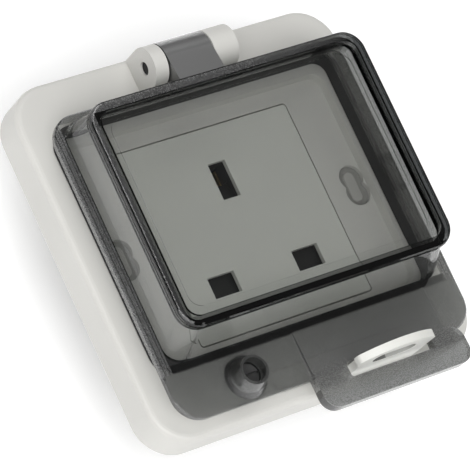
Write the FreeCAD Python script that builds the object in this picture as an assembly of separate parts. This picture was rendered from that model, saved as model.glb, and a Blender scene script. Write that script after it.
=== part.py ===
"""Weatherproof 13 A socket outlet: a square base frame with a hinged, see-through lid over a 45 mm module.

All sizes are in millimetres. The origin is the centre of the face that the panel gasket presses on
the wall, +Z points out of the wall, +Y towards the lid's hinge and +X to the right, seen from the
front.
"""
import FreeCAD
import Part
import math
import os
from FreeCAD import Vector

# Base frame: the square moulding that everything else is fastened to
BASE_WIDTH = 84.4
BASE_HEIGHT = 84.4
BASE_CORNER_RADIUS = 9.0
BASE_EDGE_RADIUS = 1.4
BASE_EDGE_STEPS = 4
SKIRT_Z = 0.4
PLATEAU_Z = 9.7
SKIRT_WALL = 4.6
PLATEAU_WALL = 2.8
FLOOR_WALL = 2.4
RIB_THICKNESS = 1.6
RIB_OFFSET = 13.0
RIB_REAR_Z = 2.4

# Window: the sunk floor round the module, with sloping sides
WINDOW_HALF_WIDTH = 33.1
WINDOW_FRONT_INSET = 18.2
WINDOW_BACK_INSET = 5.6
WINDOW_RADIUS = 3.0
WINDOW_SLOPE = 0.4

# Module: standard 45 mm square face, flush with the window floor
FACE_Z = 7.6
MODULE_SIZE = 45.0
MODULE_GAP = 0.3
MODULE_CORNER_RADIUS = 0.6
COLLAR_WALL = 1.6
COLLAR_REAR_Z = -2.0
LEDGE_CLEARANCE = 0.3

# Pin apertures, on the 22.23 mm spacing of the 13 A plug
PIN_SPACING_X = 22.23
PIN_SPACING_Y = 22.23
PIN_CENTRE_Y = -1.0
LINE_APERTURE_X = 6.9
LINE_APERTURE_Y = 4.9
EARTH_APERTURE_X = 4.5
EARTH_APERTURE_Y = 8.7
LINE_PIN_X = 6.35
LINE_PIN_Y = 3.97
EARTH_PIN_X = 3.97
EARTH_PIN_Y = 7.92

# Fixing points on the 60.3 mm spacing of wall boxes, under figure-of-eight recesses
FIXING_SPACING = 60.3
FIXING_HOLE_RADIUS = 2.1
FIXING_PILLAR_RADIUS = 4.2
FIXING_PILLAR_Z = 0.0
RECESS_LOBE_RADIUS = 3.0
RECESS_LOBE_OFFSET = 1.85
RECESS_DEPTH = 1.2
RECESS_WEB = 0.6

# Panel gasket, held in a groove in the skirt's rim
PANEL_GASKET_WIDTH = 3.4
PANEL_GASKET_INSET = 0.7
PANEL_GROOVE_DEPTH = 1.0
PANEL_GROOVE_GAP = 0.1

# Hinge
HINGE_INSET = 5.1
HINGE_Z = 15.5
BARREL_RADIUS = 4.7
HINGE_HALF_WIDTH = 10.9
LEFT_EAR_THICKNESS = 3.3
KNUCKLE_WIDTH = 11.7
KNUCKLE_SIDE_GAP = 0.3
KNUCKLE_STRAP_RISE = 1.2
PIN_RADIUS = 1.5
PIN_EAR_CLEARANCE = 0.05
PIN_KNUCKLE_CLEARANCE = 0.06
PIN_RECESS = 0.5
PIN_BLIND_WALL = 1.0

# Padlock eye: a plate pressed into the base's front wall, which comes up through the lid's tab
EYE_LEFT_X = 3.6
EYE_RIGHT_X = 23.2
EYE_FRONT_INSET = 1.6
EYE_THICKNESS = 1.8
EYE_HOOK = 1.1
EYE_HOOK_Z = 18.0
EYE_LEFT_Z = 20.9
EYE_PEAK_X = 11.5
EYE_PEAK_Z = 24.7
EYE_RIGHT_Z = 21.8
EYE_TIP_RADIUS = 1.2
EYE_HOLE_X0 = 7.6
EYE_HOLE_X1 = 18.6
EYE_HOLE_Z = 19.7
EYE_HOLE_RADIUS = 2.3
EYE_ROOT_DEPTH = 5.0
EYE_ROOT_GAP = 0.05

# Trough in the plateau behind the padlock eye
TROUGH_LEFT_X = -12.0
TROUGH_RIGHT_X = 30.0
TROUGH_BACK_INSET = 8.4
TROUGH_RADIUS = 2.0
TROUGH_DEPTH = 1.7
TROUGH_EYE_GAP = 0.0

# Lid
FLANGE_HALF_WIDTH = 38.6
FLANGE_FRONT_INSET = 2.7
FLANGE_HINGE_GAP = 0.4
FLANGE_RADIUS = 6.2
FLANGE_Z = 14.0
FLANGE_THICKNESS = 1.5
FLANGE_EDGE_CHAMFER = 0.35
DOME_HALF_WIDTH = 36.0
DOME_FRONT_INSET = 15.3
DOME_BACK_INSET = 1.6
DOME_RADIUS = 4.6
DOME_TOP_HALF_WIDTH = 34.6
DOME_TOP_FRONT_INSET = 19.7
DOME_TOP_BACK_INSET = 3.6
DOME_WALL = 1.8
PANE_Z = 26.2
PANE_THICKNESS = 1.9
PANE_BORDER = 2.0
PANE_BORDER_STEP = 0.25
RIM_HALF_WIDTH = 35.7
RIM_FRONT_INSET = 18.8
RIM_BACK_INSET = 2.7
RIM_RADIUS = 5.0
RIM_Z = 25.0
RIM_TOP_Z = 27.4
RIM_WIDTH = 2.4
RIM_INNER_RADIUS_EXTRA = 0.4
RIM_EDGE_RADIUS = 0.7
RIM_EDGE_STEPS = 2
RIM_GROOVE = 0.3
RIM_GROOVE_PITCH = 0.8

# Tab at the lid's lower edge, which rises gently from the flange
TAB_LEFT_X = -5.6
TAB_PAD_RIGHT_X = 29.8
TAB_RIGHT_X = 33.5
TAB_BACK_INSET = 13.9
TAB_OVERHANG = 5.0
TAB_SHOULDER_INSET = 3.8
TAB_BACK_RISE = 0.3
TAB_RISE = 1.4
TAB_CORNER_RADIUS = 3.4
TAB_EDGE_RADIUS = 0.7
SLOT_FRONT_CLEARANCE = 1.3
SLOT_BACK_CLEARANCE = 0.3
SLOT_LEFT_CLEARANCE = 0.6
SLOT_RIGHT_CLEARANCE = 2.3

# Screw boss on the flange, with its captive screw
BOSS_X = -20.4
BOSS_FRONT_INSET = 8.1
BOSS_FOOT_RADIUS = 5.0
BOSS_WAIST_RADIUS = 4.1
BOSS_WAIST_HEIGHT = 1.7
BOSS_TOP_RADIUS = 3.3
BOSS_HEIGHT = 4.6
BOSS_BORE_RADIUS = 2.7
BOSS_BORE_FLOOR = 1.0
SCREW_HEAD_CLEARANCE = 0.2
SCREW_HEAD_HEIGHT = 1.8
SCREW_SHANK_RADIUS = 1.4
SCREW_SHANK_CLEARANCE = 0.15
SCREW_TIP_GAP = 0.6
SCREW_PILOT_DEPTH = 5.0
SCREW_PILLAR_WALL = 1.8
RETAINER_RADIUS = 2.9
RETAINER_THICKNESS = 0.9

# Lid gasket, a tall soft lip between the flange and the plateau
LID_GASKET_WIDTH = 1.4
LID_GASKET_INSET = 0.1

# Socket module
PLATE_THICKNESS = 1.2
PLATE_WALL = 1.0
PLATE_DEPTH = 6.0
PLATE_FIT = 0.1
BODY_REAR_Z = -20.0
POST_INSET = 4.2
POST_RADIUS = 2.3
POST_LENGTH = 9.0
POST_CLEARANCE = 0.3
BODY_SCREW_RADIUS = 1.2
BODY_SCREW_HEAD_RADIUS = 2.1
BODY_SCREW_HEAD_HEIGHT = 1.6
BODY_SCREW_RECESS = 0.6
BODY_SCREW_BITE = 6.0
LATCH_WIDTH = 9.0
LATCH_HEIGHT = 2.4
LATCH_REACH = 0.9
LATCH_GAP = 0.2
TONGUE_THICKNESS = 1.4
TONGUE_GAP = 1.6
TONGUE_ROOT_Z = 0.0

# Shutter behind the line and neutral apertures
SHUTTER_THICKNESS = 2.0
SHUTTER_ROOM = 3.5
SHUTTER_REAR_GAP = 0.2
SHUTTER_OVERLAP = 0.3
SHUTTER_TRAVEL = 5.4
SHUTTER_SIDE_GAP = 0.3
SHUTTER_STEM_WIDTH = 4.8
SHUTTER_RAMP_LENGTH = 3.6
SHUTTER_RAMP_TIP = 0.5
SPRING_WINDOW_WIDTH = 2.9
SPRING_WINDOW_LENGTH = 11.0
SPRING_WINDOW_BACK_Y = 3.5
SPRING_RADIUS = 0.95
SPRING_WIRE_HALF = 0.18
SPRING_TURNS = 5
SPRING_SIDES = 12
SPRING_POST_WIDTH = 1.8
SPRING_POST_LENGTH = 1.2
SPRING_END_GAP = 0.1

# Contacts and terminals
LEAF_THICKNESS = 0.8
LEAF_GRIP = 0.02
CONTACT_TOP_GAP = 0.1
CARRIER_WEB = 1.0
PIN_CLEARANCE = 0.3
POCKET_CLEARANCE = 0.15
SCREW_ACCESS_CLEARANCE = 0.3
TERMINAL_HALF_WIDTH = 3.5
TERMINAL_TOP_Z = -11.0
TERMINAL_REAR_Z = -17.6
TERMINAL_HOLE_RADIUS = 1.9
CABLE_ENTRY_RADIUS = 2.3
TERMINAL_SCREW_RADIUS = 1.45
TERMINAL_SCREW_HEAD_RADIUS = 2.3
TERMINAL_SCREW_HEAD_HEIGHT = 1.6
TERMINAL_SCREW_CLEARANCE = 0.05
DRIVER_SLOT_WIDTH = 0.6
DRIVER_SLOT_DEPTH = 0.7

# A cutter reaches this far past a face that it has to break through
PAST = 1.0

HALF_HEIGHT = BASE_HEIGHT / 2
HINGE_Y = HALF_HEIGHT - HINGE_INSET
FLANGE_FRONT_Y = FLANGE_FRONT_INSET - HALF_HEIGHT
FLANGE_BACK_Y = HINGE_Y - BARREL_RADIUS - FLANGE_HINGE_GAP
WINDOW_FRONT_Y = WINDOW_FRONT_INSET - HALF_HEIGHT
WINDOW_BACK_Y = FLANGE_BACK_Y - WINDOW_BACK_INSET
EYE_FRONT_Y = EYE_FRONT_INSET - HALF_HEIGHT
TROUGH_BACK_Y = TROUGH_BACK_INSET - HALF_HEIGHT
DOME_FRONT_Y = DOME_FRONT_INSET - HALF_HEIGHT
DOME_BACK_Y = FLANGE_BACK_Y - DOME_BACK_INSET
DOME_TOP_FRONT_Y = DOME_TOP_FRONT_INSET - HALF_HEIGHT
DOME_TOP_BACK_Y = FLANGE_BACK_Y - DOME_TOP_BACK_INSET
RIM_FRONT_Y = RIM_FRONT_INSET - HALF_HEIGHT
RIM_BACK_Y = FLANGE_BACK_Y - RIM_BACK_INSET
TAB_BACK_Y = TAB_BACK_INSET - HALF_HEIGHT
TAB_FRONT_Y = -HALF_HEIGHT - TAB_OVERHANG
TAB_SHOULDER_Y = TAB_SHOULDER_INSET - HALF_HEIGHT
BOSS_Y = BOSS_FRONT_INSET - HALF_HEIGHT
FLANGE_TOP_Z = FLANGE_Z + FLANGE_THICKNESS
MODULE_HALF = MODULE_SIZE / 2
OPENING_HALF = MODULE_HALF + MODULE_GAP
COLLAR_HALF = OPENING_HALF + COLLAR_WALL
BODY_HALF = MODULE_HALF - PLATE_WALL - PLATE_FIT
POST_OFFSET = MODULE_HALF - POST_INSET
PLATE_REAR_Z = FACE_Z - PLATE_THICKNESS
PLATE_FOOT_Z = FACE_Z - PLATE_DEPTH
CHAMBER_Z = PLATE_REAR_Z - SHUTTER_ROOM
LINE_X = PIN_SPACING_X / 2
LINE_Y = PIN_CENTRE_Y - PIN_SPACING_Y / 2
EARTH_Y = PIN_CENTRE_Y + PIN_SPACING_Y / 2
EYE_BACK_Y = EYE_FRONT_Y + EYE_THICKNESS
SLOT_FRONT_Y = EYE_FRONT_Y - SLOT_FRONT_CLEARANCE
SLOT_BACK_Y = EYE_BACK_Y + SLOT_BACK_CLEARANCE
FIXING_X = FIXING_SPACING / 2


def rounded_wire(x0, x1, y0, y1, radius, z):
    """Closed outline of a rectangle with round corners, level at z."""
    corners = ((x1 - radius, y1 - radius, 0), (x0 + radius, y1 - radius, 90),
               (x0 + radius, y0 + radius, 180), (x1 - radius, y0 + radius, 270))
    arcs = []
    for centre_x, centre_y, start in corners:
        circle = Part.Circle(Vector(centre_x, centre_y, z), Vector(0, 0, 1), radius)
        arcs.append(Part.Arc(circle, math.radians(start), math.radians(start + 90)))
    edges = []
    for arc, following in zip(arcs, arcs[1:] + arcs[:1]):
        edges.append(arc.toShape())
        edges.append(Part.LineSegment(arc.EndPoint, following.StartPoint).toShape())
    return Part.Wire(edges)


def rounded_block(x0, x1, y0, y1, radius, z0, z1):
    """Upright block with round corners."""
    face = Part.Face(rounded_wire(x0, x1, y0, y1, radius, z0))
    return face.extrude(Vector(0, 0, z1 - z0))


def square_block(half, radius, z0, z1):
    """Upright block, square in plan and centred on the Z axis."""
    return rounded_block(-half, half, -half, half, radius, z0, z1)


def tapered_block(*wires):
    """Solid with straight sides from outline to outline."""
    return Part.makeLoft(list(wires), True, True)


def soft_top_block(x0, x1, y0, y1, corner, z0, z1, radius, steps):
    """Upright block with round corners, its top edge rounded in short straight steps."""
    wires = [rounded_wire(x0, x1, y0, y1, corner, z0)]
    for step in range(steps + 1):
        turn = math.pi / 2 * step / steps
        inset = radius * (1 - math.cos(turn))
        z = z1 - radius * (1 - math.sin(turn))
        wires.append(rounded_wire(x0 + inset, x1 - inset, y0 + inset, y1 - inset, corner - inset, z))
    return tapered_block(*wires)


def square(half, z0, z1):
    """Upright block, square in plan with sharp corners and centred on the Z axis."""
    return box(-half, half, -half, half, z0, z1)


def box(x0, x1, y0, y1, z0, z1):
    """Block between two corners."""
    return Part.makeBox(x1 - x0, y1 - y0, z1 - z0, Vector(x0, y0, z0))


def upright(radius, x, y, z0, z1):
    """Cylinder along Z."""
    return Part.makeCylinder(radius, z1 - z0, Vector(x, y, z0), Vector(0, 0, 1))


def across(radius, x0, x1, y, z):
    """Cylinder along X."""
    return Part.makeCylinder(radius, x1 - x0, Vector(x0, y, z), Vector(1, 0, 0))


def lengthwise(radius, x, y0, y1, z):
    """Cylinder along Y."""
    return Part.makeCylinder(radius, y1 - y0, Vector(x, y0, z), Vector(0, 1, 0))


def side_profile(points, x0, x1):
    """Prism along X with the given outline in the YZ plane."""
    corners = [Vector(x0, y, z) for y, z in points]
    face = Part.Face(Part.makePolygon(corners + corners[:1]))
    return face.extrude(Vector(x1 - x0, 0, 0))


def level_edges(solid, z):
    """Edges that lie wholly at height z."""
    found = []
    for edge in solid.Edges:
        box_of_edge = edge.BoundBox
        if abs(box_of_edge.ZMin - z) < 1e-5 and abs(box_of_edge.ZMax - z) < 1e-5:
            found.append(edge)
    return found


def slotted_screw(head_radius, head_height, shank_radius, length):
    """Screw along Z with the head's top at the origin, pointing down, with a driver slot."""
    head = upright(head_radius, 0, 0, -head_height, 0)
    shank = upright(shank_radius, 0, 0, -length, -head_height)
    slot = box(-head_radius - PAST, head_radius + PAST, -DRIVER_SLOT_WIDTH / 2, DRIVER_SLOT_WIDTH / 2,
               -DRIVER_SLOT_DEPTH, PAST)
    return head.fuse(shank).cut(slot).removeSplitter()


def window_block(extra, z0, z1):
    """Block of the window floor's outline, larger by extra on each side."""
    return rounded_block(-WINDOW_HALF_WIDTH - extra, WINDOW_HALF_WIDTH + extra, WINDOW_FRONT_Y - extra,
                         WINDOW_BACK_Y + extra, WINDOW_RADIUS + extra, z0, z1)


def base_shell():
    """The skirt and the plateau, hollow from behind."""
    half_x = BASE_WIDTH / 2
    half_y = HALF_HEIGHT
    shell = soft_top_block(-half_x, half_x, -half_y, half_y, BASE_CORNER_RADIUS, SKIRT_Z, PLATEAU_Z,
                           BASE_EDGE_RADIUS, BASE_EDGE_STEPS)
    hollow = rounded_block(-half_x + SKIRT_WALL, half_x - SKIRT_WALL, -half_y + SKIRT_WALL,
                           half_y - SKIRT_WALL, BASE_CORNER_RADIUS - SKIRT_WALL, SKIRT_Z - PAST,
                           PLATEAU_Z - PLATEAU_WALL)
    floor = window_block(FLOOR_WALL, FACE_Z - FLOOR_WALL, PLATEAU_Z)
    return shell.cut(hollow.cut(floor))


def base_ribs():
    """Ribs behind the floor, from the collar to the skirt."""
    ribs = []
    inner_x = BASE_WIDTH / 2 - SKIRT_WALL + PAST
    inner_y = HALF_HEIGHT - SKIRT_WALL + PAST
    half = RIB_THICKNESS / 2
    top = FACE_Z - FLOOR_WALL + PAST
    for side in (-1, 1):
        for offset in (-RIB_OFFSET, RIB_OFFSET):
            ends = sorted((side * (COLLAR_HALF - COLLAR_WALL / 2), side * inner_x))
            ribs.append(box(ends[0], ends[1], offset - half, offset + half, RIB_REAR_Z, top))
            ends = sorted((side * (COLLAR_HALF - COLLAR_WALL / 2), side * inner_y))
            ribs.append(box(offset - half, offset + half, ends[0], ends[1], RIB_REAR_Z, top))
    return ribs


def hinge_ear(x0, x1):
    """One ear: a half-round top on a block that stands on the plateau."""
    foot_z = PLATEAU_Z - PLATEAU_WALL / 2
    block = box(x0, x1, HINGE_Y - BARREL_RADIUS, HINGE_Y + BARREL_RADIUS, foot_z, HINGE_Z)
    return block.fuse(across(BARREL_RADIUS, x0, x1, HINGE_Y, HINGE_Z))


def make_padlock_eye():
    """Plate with an arched top, a long hole for a padlock's shackle and a root sunk in the base."""
    foot_z = PLATEAU_Z - EYE_ROOT_DEPTH
    points = {"foot_left": (EYE_LEFT_X + EYE_HOOK, foot_z), "hook_low": (EYE_LEFT_X + EYE_HOOK, EYE_HOOK_Z),
              "hook_tip": (EYE_LEFT_X, EYE_HOOK_Z + EYE_HOOK), "top_left": (EYE_LEFT_X, EYE_LEFT_Z),
              "peak": (EYE_PEAK_X, EYE_PEAK_Z), "top_right": (EYE_RIGHT_X, EYE_RIGHT_Z),
              "foot_right": (EYE_RIGHT_X, foot_z)}
    at = {name: Vector(x, EYE_FRONT_Y, z) for name, (x, z) in points.items()}
    straight = (("foot_left", "hook_low"), ("hook_low", "hook_tip"), ("hook_tip", "top_left"))
    edges = [Part.LineSegment(at[start], at[end]).toShape() for start, end in straight]
    edges.append(Part.Arc(at["top_left"], at["peak"], at["top_right"]).toShape())
    edges.append(Part.LineSegment(at["top_right"], at["foot_right"]).toShape())
    edges.append(Part.LineSegment(at["foot_right"], at["foot_left"]).toShape())
    plate = Part.Face(Part.Wire(edges)).extrude(Vector(0, EYE_THICKNESS, 0))
    tip = [edge for edge in plate.Edges if is_eye_tip(edge)]
    plate = plate.makeFillet(EYE_TIP_RADIUS, tip)
    x0 = EYE_HOLE_X0 + EYE_HOLE_RADIUS
    x1 = EYE_HOLE_X1 - EYE_HOLE_RADIUS
    y0 = EYE_FRONT_Y - PAST
    y1 = EYE_BACK_Y + PAST
    hole = box(x0, x1, y0, y1, EYE_HOLE_Z - EYE_HOLE_RADIUS, EYE_HOLE_Z + EYE_HOLE_RADIUS)
    for x in (x0, x1):
        hole = hole.fuse(lengthwise(EYE_HOLE_RADIUS, x, y0, y1, EYE_HOLE_Z))
    return plate.cut(hole)


def eye_socket():
    """Cutter for the slot in the base that takes the padlock eye's root."""
    gap = EYE_ROOT_GAP
    return box(EYE_LEFT_X + EYE_HOOK - gap, EYE_RIGHT_X + gap, EYE_FRONT_Y - gap, EYE_BACK_Y + gap,
               PLATEAU_Z - EYE_ROOT_DEPTH, PLATEAU_Z + PAST)


def is_eye_tip(edge):
    """True for the edges across the plate at the two ends of its arched top."""
    bounds = edge.BoundBox
    runs_across = bounds.YLength > EYE_THICKNESS / 2 and bounds.XLength < 1e-5
    at_left = abs(bounds.XMin - EYE_LEFT_X) < 1e-5 and abs(bounds.ZMin - EYE_LEFT_Z) < 1e-5
    at_right = abs(bounds.XMin - EYE_RIGHT_X) < 1e-5 and abs(bounds.ZMin - EYE_RIGHT_Z) < 1e-5
    return runs_across and (at_left or at_right)


def panel_groove_ring(gap, z0, z1):
    """Ring that follows the skirt's rim, wider than the gasket by gap on each side."""
    rings = []
    for inset in (PANEL_GASKET_INSET - gap, PANEL_GASKET_INSET + PANEL_GASKET_WIDTH + gap):
        half_x = BASE_WIDTH / 2 - inset
        half_y = HALF_HEIGHT - inset
        rings.append(rounded_block(-half_x, half_x, -half_y, half_y, BASE_CORNER_RADIUS - inset, z0, z1))
    return rings[0].cut(rings[1])


def base_cutters():
    """Everything that is taken out of the base frame."""
    low = rounded_wire(-WINDOW_HALF_WIDTH, WINDOW_HALF_WIDTH, WINDOW_FRONT_Y, WINDOW_BACK_Y,
                       WINDOW_RADIUS, FACE_Z)
    slope = WINDOW_SLOPE * (PLATEAU_Z + PAST - FACE_Z) / (PLATEAU_Z - FACE_Z)
    high = rounded_wire(-WINDOW_HALF_WIDTH - slope, WINDOW_HALF_WIDTH + slope, WINDOW_FRONT_Y - slope,
                        WINDOW_BACK_Y + slope, WINDOW_RADIUS + slope, PLATEAU_Z + PAST)
    cutters = [tapered_block(low, high)]
    opening = square_block(OPENING_HALF, MODULE_CORNER_RADIUS + MODULE_GAP, PLATE_FOOT_Z, FACE_Z + PAST)
    narrow = square(BODY_HALF + LEDGE_CLEARANCE, COLLAR_REAR_Z - PAST, PLATE_FOOT_Z + PAST)
    opening = opening.fuse(narrow)
    cutters.append(opening)
    cutters.append(eye_socket())
    cutters.append(rounded_block(TROUGH_LEFT_X, TROUGH_RIGHT_X, EYE_BACK_Y + TROUGH_EYE_GAP, TROUGH_BACK_Y,
                                 TROUGH_RADIUS, PLATEAU_Z - TROUGH_DEPTH, PLATEAU_Z + PAST))
    for x in (-FIXING_X, FIXING_X):
        for y in (-RECESS_LOBE_OFFSET, RECESS_LOBE_OFFSET):
            cutters.append(upright(RECESS_LOBE_RADIUS, x, y, FACE_Z - RECESS_DEPTH, FACE_Z + PAST))
        cutters.append(upright(FIXING_HOLE_RADIUS, x, 0, FIXING_PILLAR_Z - PAST,
                               FACE_Z - RECESS_DEPTH - RECESS_WEB))
    cutters.append(panel_groove_ring(PANEL_GROOVE_GAP, SKIRT_Z - PAST, SKIRT_Z + PANEL_GROOVE_DEPTH))
    cutters.append(upright(SCREW_SHANK_RADIUS, BOSS_X, BOSS_Y, PLATEAU_Z - SCREW_PILOT_DEPTH,
                           PLATEAU_Z + PAST))
    return cutters


def make_base_frame():
    """Square frame with skirt, window floor, collar with a ledge, fixing pillars and hinge ears."""
    frame = base_shell()
    collar = square(COLLAR_HALF, COLLAR_REAR_Z, FACE_Z - FLOOR_WALL / 2)
    additions = [collar] + base_ribs()
    for x in (-FIXING_X, FIXING_X):
        additions.append(upright(FIXING_PILLAR_RADIUS, x, 0, FIXING_PILLAR_Z, FACE_Z - FLOOR_WALL / 2))
    pillar_z = PLATEAU_Z - SCREW_PILOT_DEPTH - SCREW_PILLAR_WALL
    additions.append(upright(SCREW_SHANK_RADIUS + SCREW_PILLAR_WALL, BOSS_X, BOSS_Y, pillar_z,
                             PLATEAU_Z - PLATEAU_WALL / 2))
    frame = frame.fuse(additions)
    frame = frame.cut(base_cutters())
    knuckle_x = knuckle_span()
    ears = [hinge_ear(-HINGE_HALF_WIDTH, -HINGE_HALF_WIDTH + LEFT_EAR_THICKNESS),
            hinge_ear(knuckle_x[1] + KNUCKLE_SIDE_GAP, HINGE_HALF_WIDTH)]
    frame = frame.fuse(ears)
    bore = across(PIN_RADIUS + PIN_EAR_CLEARANCE, -HINGE_HALF_WIDTH - PAST,
                  HINGE_HALF_WIDTH - PIN_BLIND_WALL, HINGE_Y, HINGE_Z)
    return frame.cut(bore).removeSplitter()


def knuckle_span():
    """Ends of the lid's knuckle along X, beside the left ear."""
    start = -HINGE_HALF_WIDTH + LEFT_EAR_THICKNESS + KNUCKLE_SIDE_GAP
    return start, start + KNUCKLE_WIDTH


def make_panel_gasket():
    """Soft ring in the skirt's groove, which stands out to the panel's face."""
    return panel_groove_ring(0, 0, SKIRT_Z + PANEL_GROOVE_DEPTH)


def make_hinge_pin():
    """Plain round pin, sunk in the left ear and stopped by the right ear's blind end."""
    x0 = -HINGE_HALF_WIDTH + PIN_RECESS
    x1 = HINGE_HALF_WIDTH - PIN_BLIND_WALL - PIN_EAR_CLEARANCE
    return across(PIN_RADIUS, x0, x1, HINGE_Y, HINGE_Z)


def dome_outline(inset, z, share):
    """Dome's outline at height z, where share runs from 0 at its foot to 1 at its top."""
    half = DOME_HALF_WIDTH + share * (DOME_TOP_HALF_WIDTH - DOME_HALF_WIDTH) - inset
    front = DOME_FRONT_Y + share * (DOME_TOP_FRONT_Y - DOME_FRONT_Y) + inset
    back = DOME_BACK_Y + share * (DOME_TOP_BACK_Y - DOME_BACK_Y) - inset
    return rounded_wire(-half, half, front, back, DOME_RADIUS - inset, z)


def dome_solid(inset, z0, z1):
    """Tapered dome between two heights, set in by inset all round."""
    rise = PANE_Z - FLANGE_TOP_Z
    wires = [dome_outline(inset, z, (z - FLANGE_TOP_Z) / rise) for z in (z0, z1)]
    return tapered_block(wires[0], wires[1])


def lid_rim():
    """Rounded frame round the window, standing out over the dome's walls."""
    rim = soft_top_block(-RIM_HALF_WIDTH, RIM_HALF_WIDTH, RIM_FRONT_Y, RIM_BACK_Y, RIM_RADIUS, RIM_Z,
                         RIM_TOP_Z, RIM_EDGE_RADIUS, RIM_EDGE_STEPS)
    for step in range(2):
        z = RIM_Z + RIM_GROOVE + step * RIM_GROOVE_PITCH
        outer = rounded_block(-RIM_HALF_WIDTH - PAST, RIM_HALF_WIDTH + PAST, RIM_FRONT_Y - PAST,
                              RIM_BACK_Y + PAST, RIM_RADIUS + PAST, z, z + RIM_GROOVE)
        inner = rounded_block(-RIM_HALF_WIDTH + RIM_GROOVE, RIM_HALF_WIDTH - RIM_GROOVE,
                              RIM_FRONT_Y + RIM_GROOVE, RIM_BACK_Y - RIM_GROOVE, RIM_RADIUS - RIM_GROOVE,
                              z - PAST, z + PAST)
        rim = rim.cut(outer.cut(inner))
    return rim


def rim_inner_block(inset, z0, z1):
    """Block inside the rim, set in from its inner edge."""
    edge = RIM_WIDTH + inset
    return rounded_block(-RIM_HALF_WIDTH + edge, RIM_HALF_WIDTH - edge, RIM_FRONT_Y + edge,
                         RIM_BACK_Y - edge, RIM_RADIUS - RIM_WIDTH + RIM_INNER_RADIUS_EXTRA, z0, z1)


def lid_tab():
    """Sloping pad on the flange that ends in a wider tab in front of it."""
    z0 = FLANGE_Z
    z1 = FLANGE_TOP_Z + TAB_RISE + PAST
    pad = rounded_block(TAB_LEFT_X, TAB_PAD_RIGHT_X, TAB_FRONT_Y, TAB_BACK_Y, TAB_CORNER_RADIUS, z0, z1)
    square_end = box(TAB_LEFT_X, TAB_PAD_RIGHT_X, FLANGE_FRONT_Y + PAST, TAB_BACK_Y, z0, z1)
    front = rounded_block(TAB_LEFT_X, TAB_RIGHT_X, TAB_FRONT_Y, TAB_SHOULDER_Y, TAB_CORNER_RADIUS, z0, z1)
    tab = pad.fuse([square_end, front]).removeSplitter()
    top = FLANGE_TOP_Z + TAB_RISE
    back = FLANGE_TOP_Z + TAB_BACK_RISE
    wedge = side_profile([(TAB_BACK_Y + PAST, back), (TAB_BACK_Y, back), (TAB_FRONT_Y, top),
                          (TAB_FRONT_Y - PAST, top), (TAB_FRONT_Y - PAST, z1 + PAST),
                          (TAB_BACK_Y + PAST, z1 + PAST)], TAB_LEFT_X - PAST, TAB_RIGHT_X + PAST)
    return tab.cut(wedge)


def tab_slot():
    """Cutter for the slot that the padlock eye comes through."""
    slot = rounded_block(EYE_LEFT_X - SLOT_LEFT_CLEARANCE, EYE_RIGHT_X + SLOT_RIGHT_CLEARANCE, SLOT_FRONT_Y,
                         SLOT_BACK_Y, TAB_EDGE_RADIUS, FLANGE_Z - PAST, FLANGE_TOP_Z + TAB_RISE + PAST)
    return slot


def lid_boss():
    """Boss with a flared foot: two stacked cones on a short cylinder through the flange."""
    waist_z = FLANGE_TOP_Z + BOSS_WAIST_HEIGHT
    top_z = FLANGE_TOP_Z + BOSS_HEIGHT
    foot = upright(BOSS_FOOT_RADIUS, BOSS_X, BOSS_Y, FLANGE_Z, FLANGE_TOP_Z)
    flare = Part.makeCone(BOSS_FOOT_RADIUS, BOSS_WAIST_RADIUS, BOSS_WAIST_HEIGHT,
                          Vector(BOSS_X, BOSS_Y, FLANGE_TOP_Z), Vector(0, 0, 1))
    neck = Part.makeCone(BOSS_WAIST_RADIUS, BOSS_TOP_RADIUS, top_z - waist_z,
                         Vector(BOSS_X, BOSS_Y, waist_z), Vector(0, 0, 1))
    return foot.fuse([flare, neck])


def lid_knuckle():
    """Barrel round the hinge pin and the strap that ties it to the dome's back wall."""
    x0, x1 = knuckle_span()
    barrel = across(BARREL_RADIUS, x0, x1, HINGE_Y, HINGE_Z)
    wall_y = DOME_TOP_BACK_Y + DOME_WALL / 3
    barrel_top = HINGE_Z + BARREL_RADIUS
    strap = side_profile([(HINGE_Y, barrel_top), (wall_y, barrel_top + KNUCKLE_STRAP_RISE),
                          (wall_y, FLANGE_Z), (HINGE_Y, FLANGE_Z)], x0, x1)
    return barrel.fuse(strap)


def make_lid():
    """One see-through moulding: flange, tapered dome, window rim, knuckle, screw boss and slotted tab."""
    flange = rounded_block(-FLANGE_HALF_WIDTH, FLANGE_HALF_WIDTH, FLANGE_FRONT_Y, FLANGE_BACK_Y,
                           FLANGE_RADIUS, FLANGE_Z, FLANGE_TOP_Z)
    flange = flange.makeChamfer(FLANGE_EDGE_CHAMFER, level_edges(flange, FLANGE_TOP_Z))
    dome = dome_solid(0, FLANGE_Z, PANE_Z)
    lid = flange.fuse([dome, lid_rim(), lid_knuckle(), lid_tab(), lid_boss()])
    cavity = dome_solid(DOME_WALL, FLANGE_Z - PAST, PANE_Z - PANE_THICKNESS)
    cutters = [cavity, tab_slot(), rim_inner_block(0, PANE_Z, RIM_TOP_Z + PAST),
               rim_inner_block(PANE_BORDER, PANE_Z - PANE_BORDER_STEP, PANE_Z + PAST),
               upright(BOSS_BORE_RADIUS, BOSS_X, BOSS_Y, FLANGE_Z + BOSS_BORE_FLOOR,
                       FLANGE_TOP_Z + BOSS_HEIGHT + PAST),
               upright(SCREW_SHANK_RADIUS + SCREW_SHANK_CLEARANCE, BOSS_X, BOSS_Y, FLANGE_Z - PAST,
                       FLANGE_TOP_Z + PAST),
               across(PIN_RADIUS + PIN_KNUCKLE_CLEARANCE, -HINGE_HALF_WIDTH, HINGE_HALF_WIDTH, HINGE_Y,
                      HINGE_Z)]
    return lid.cut(cutters).removeSplitter()


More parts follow.
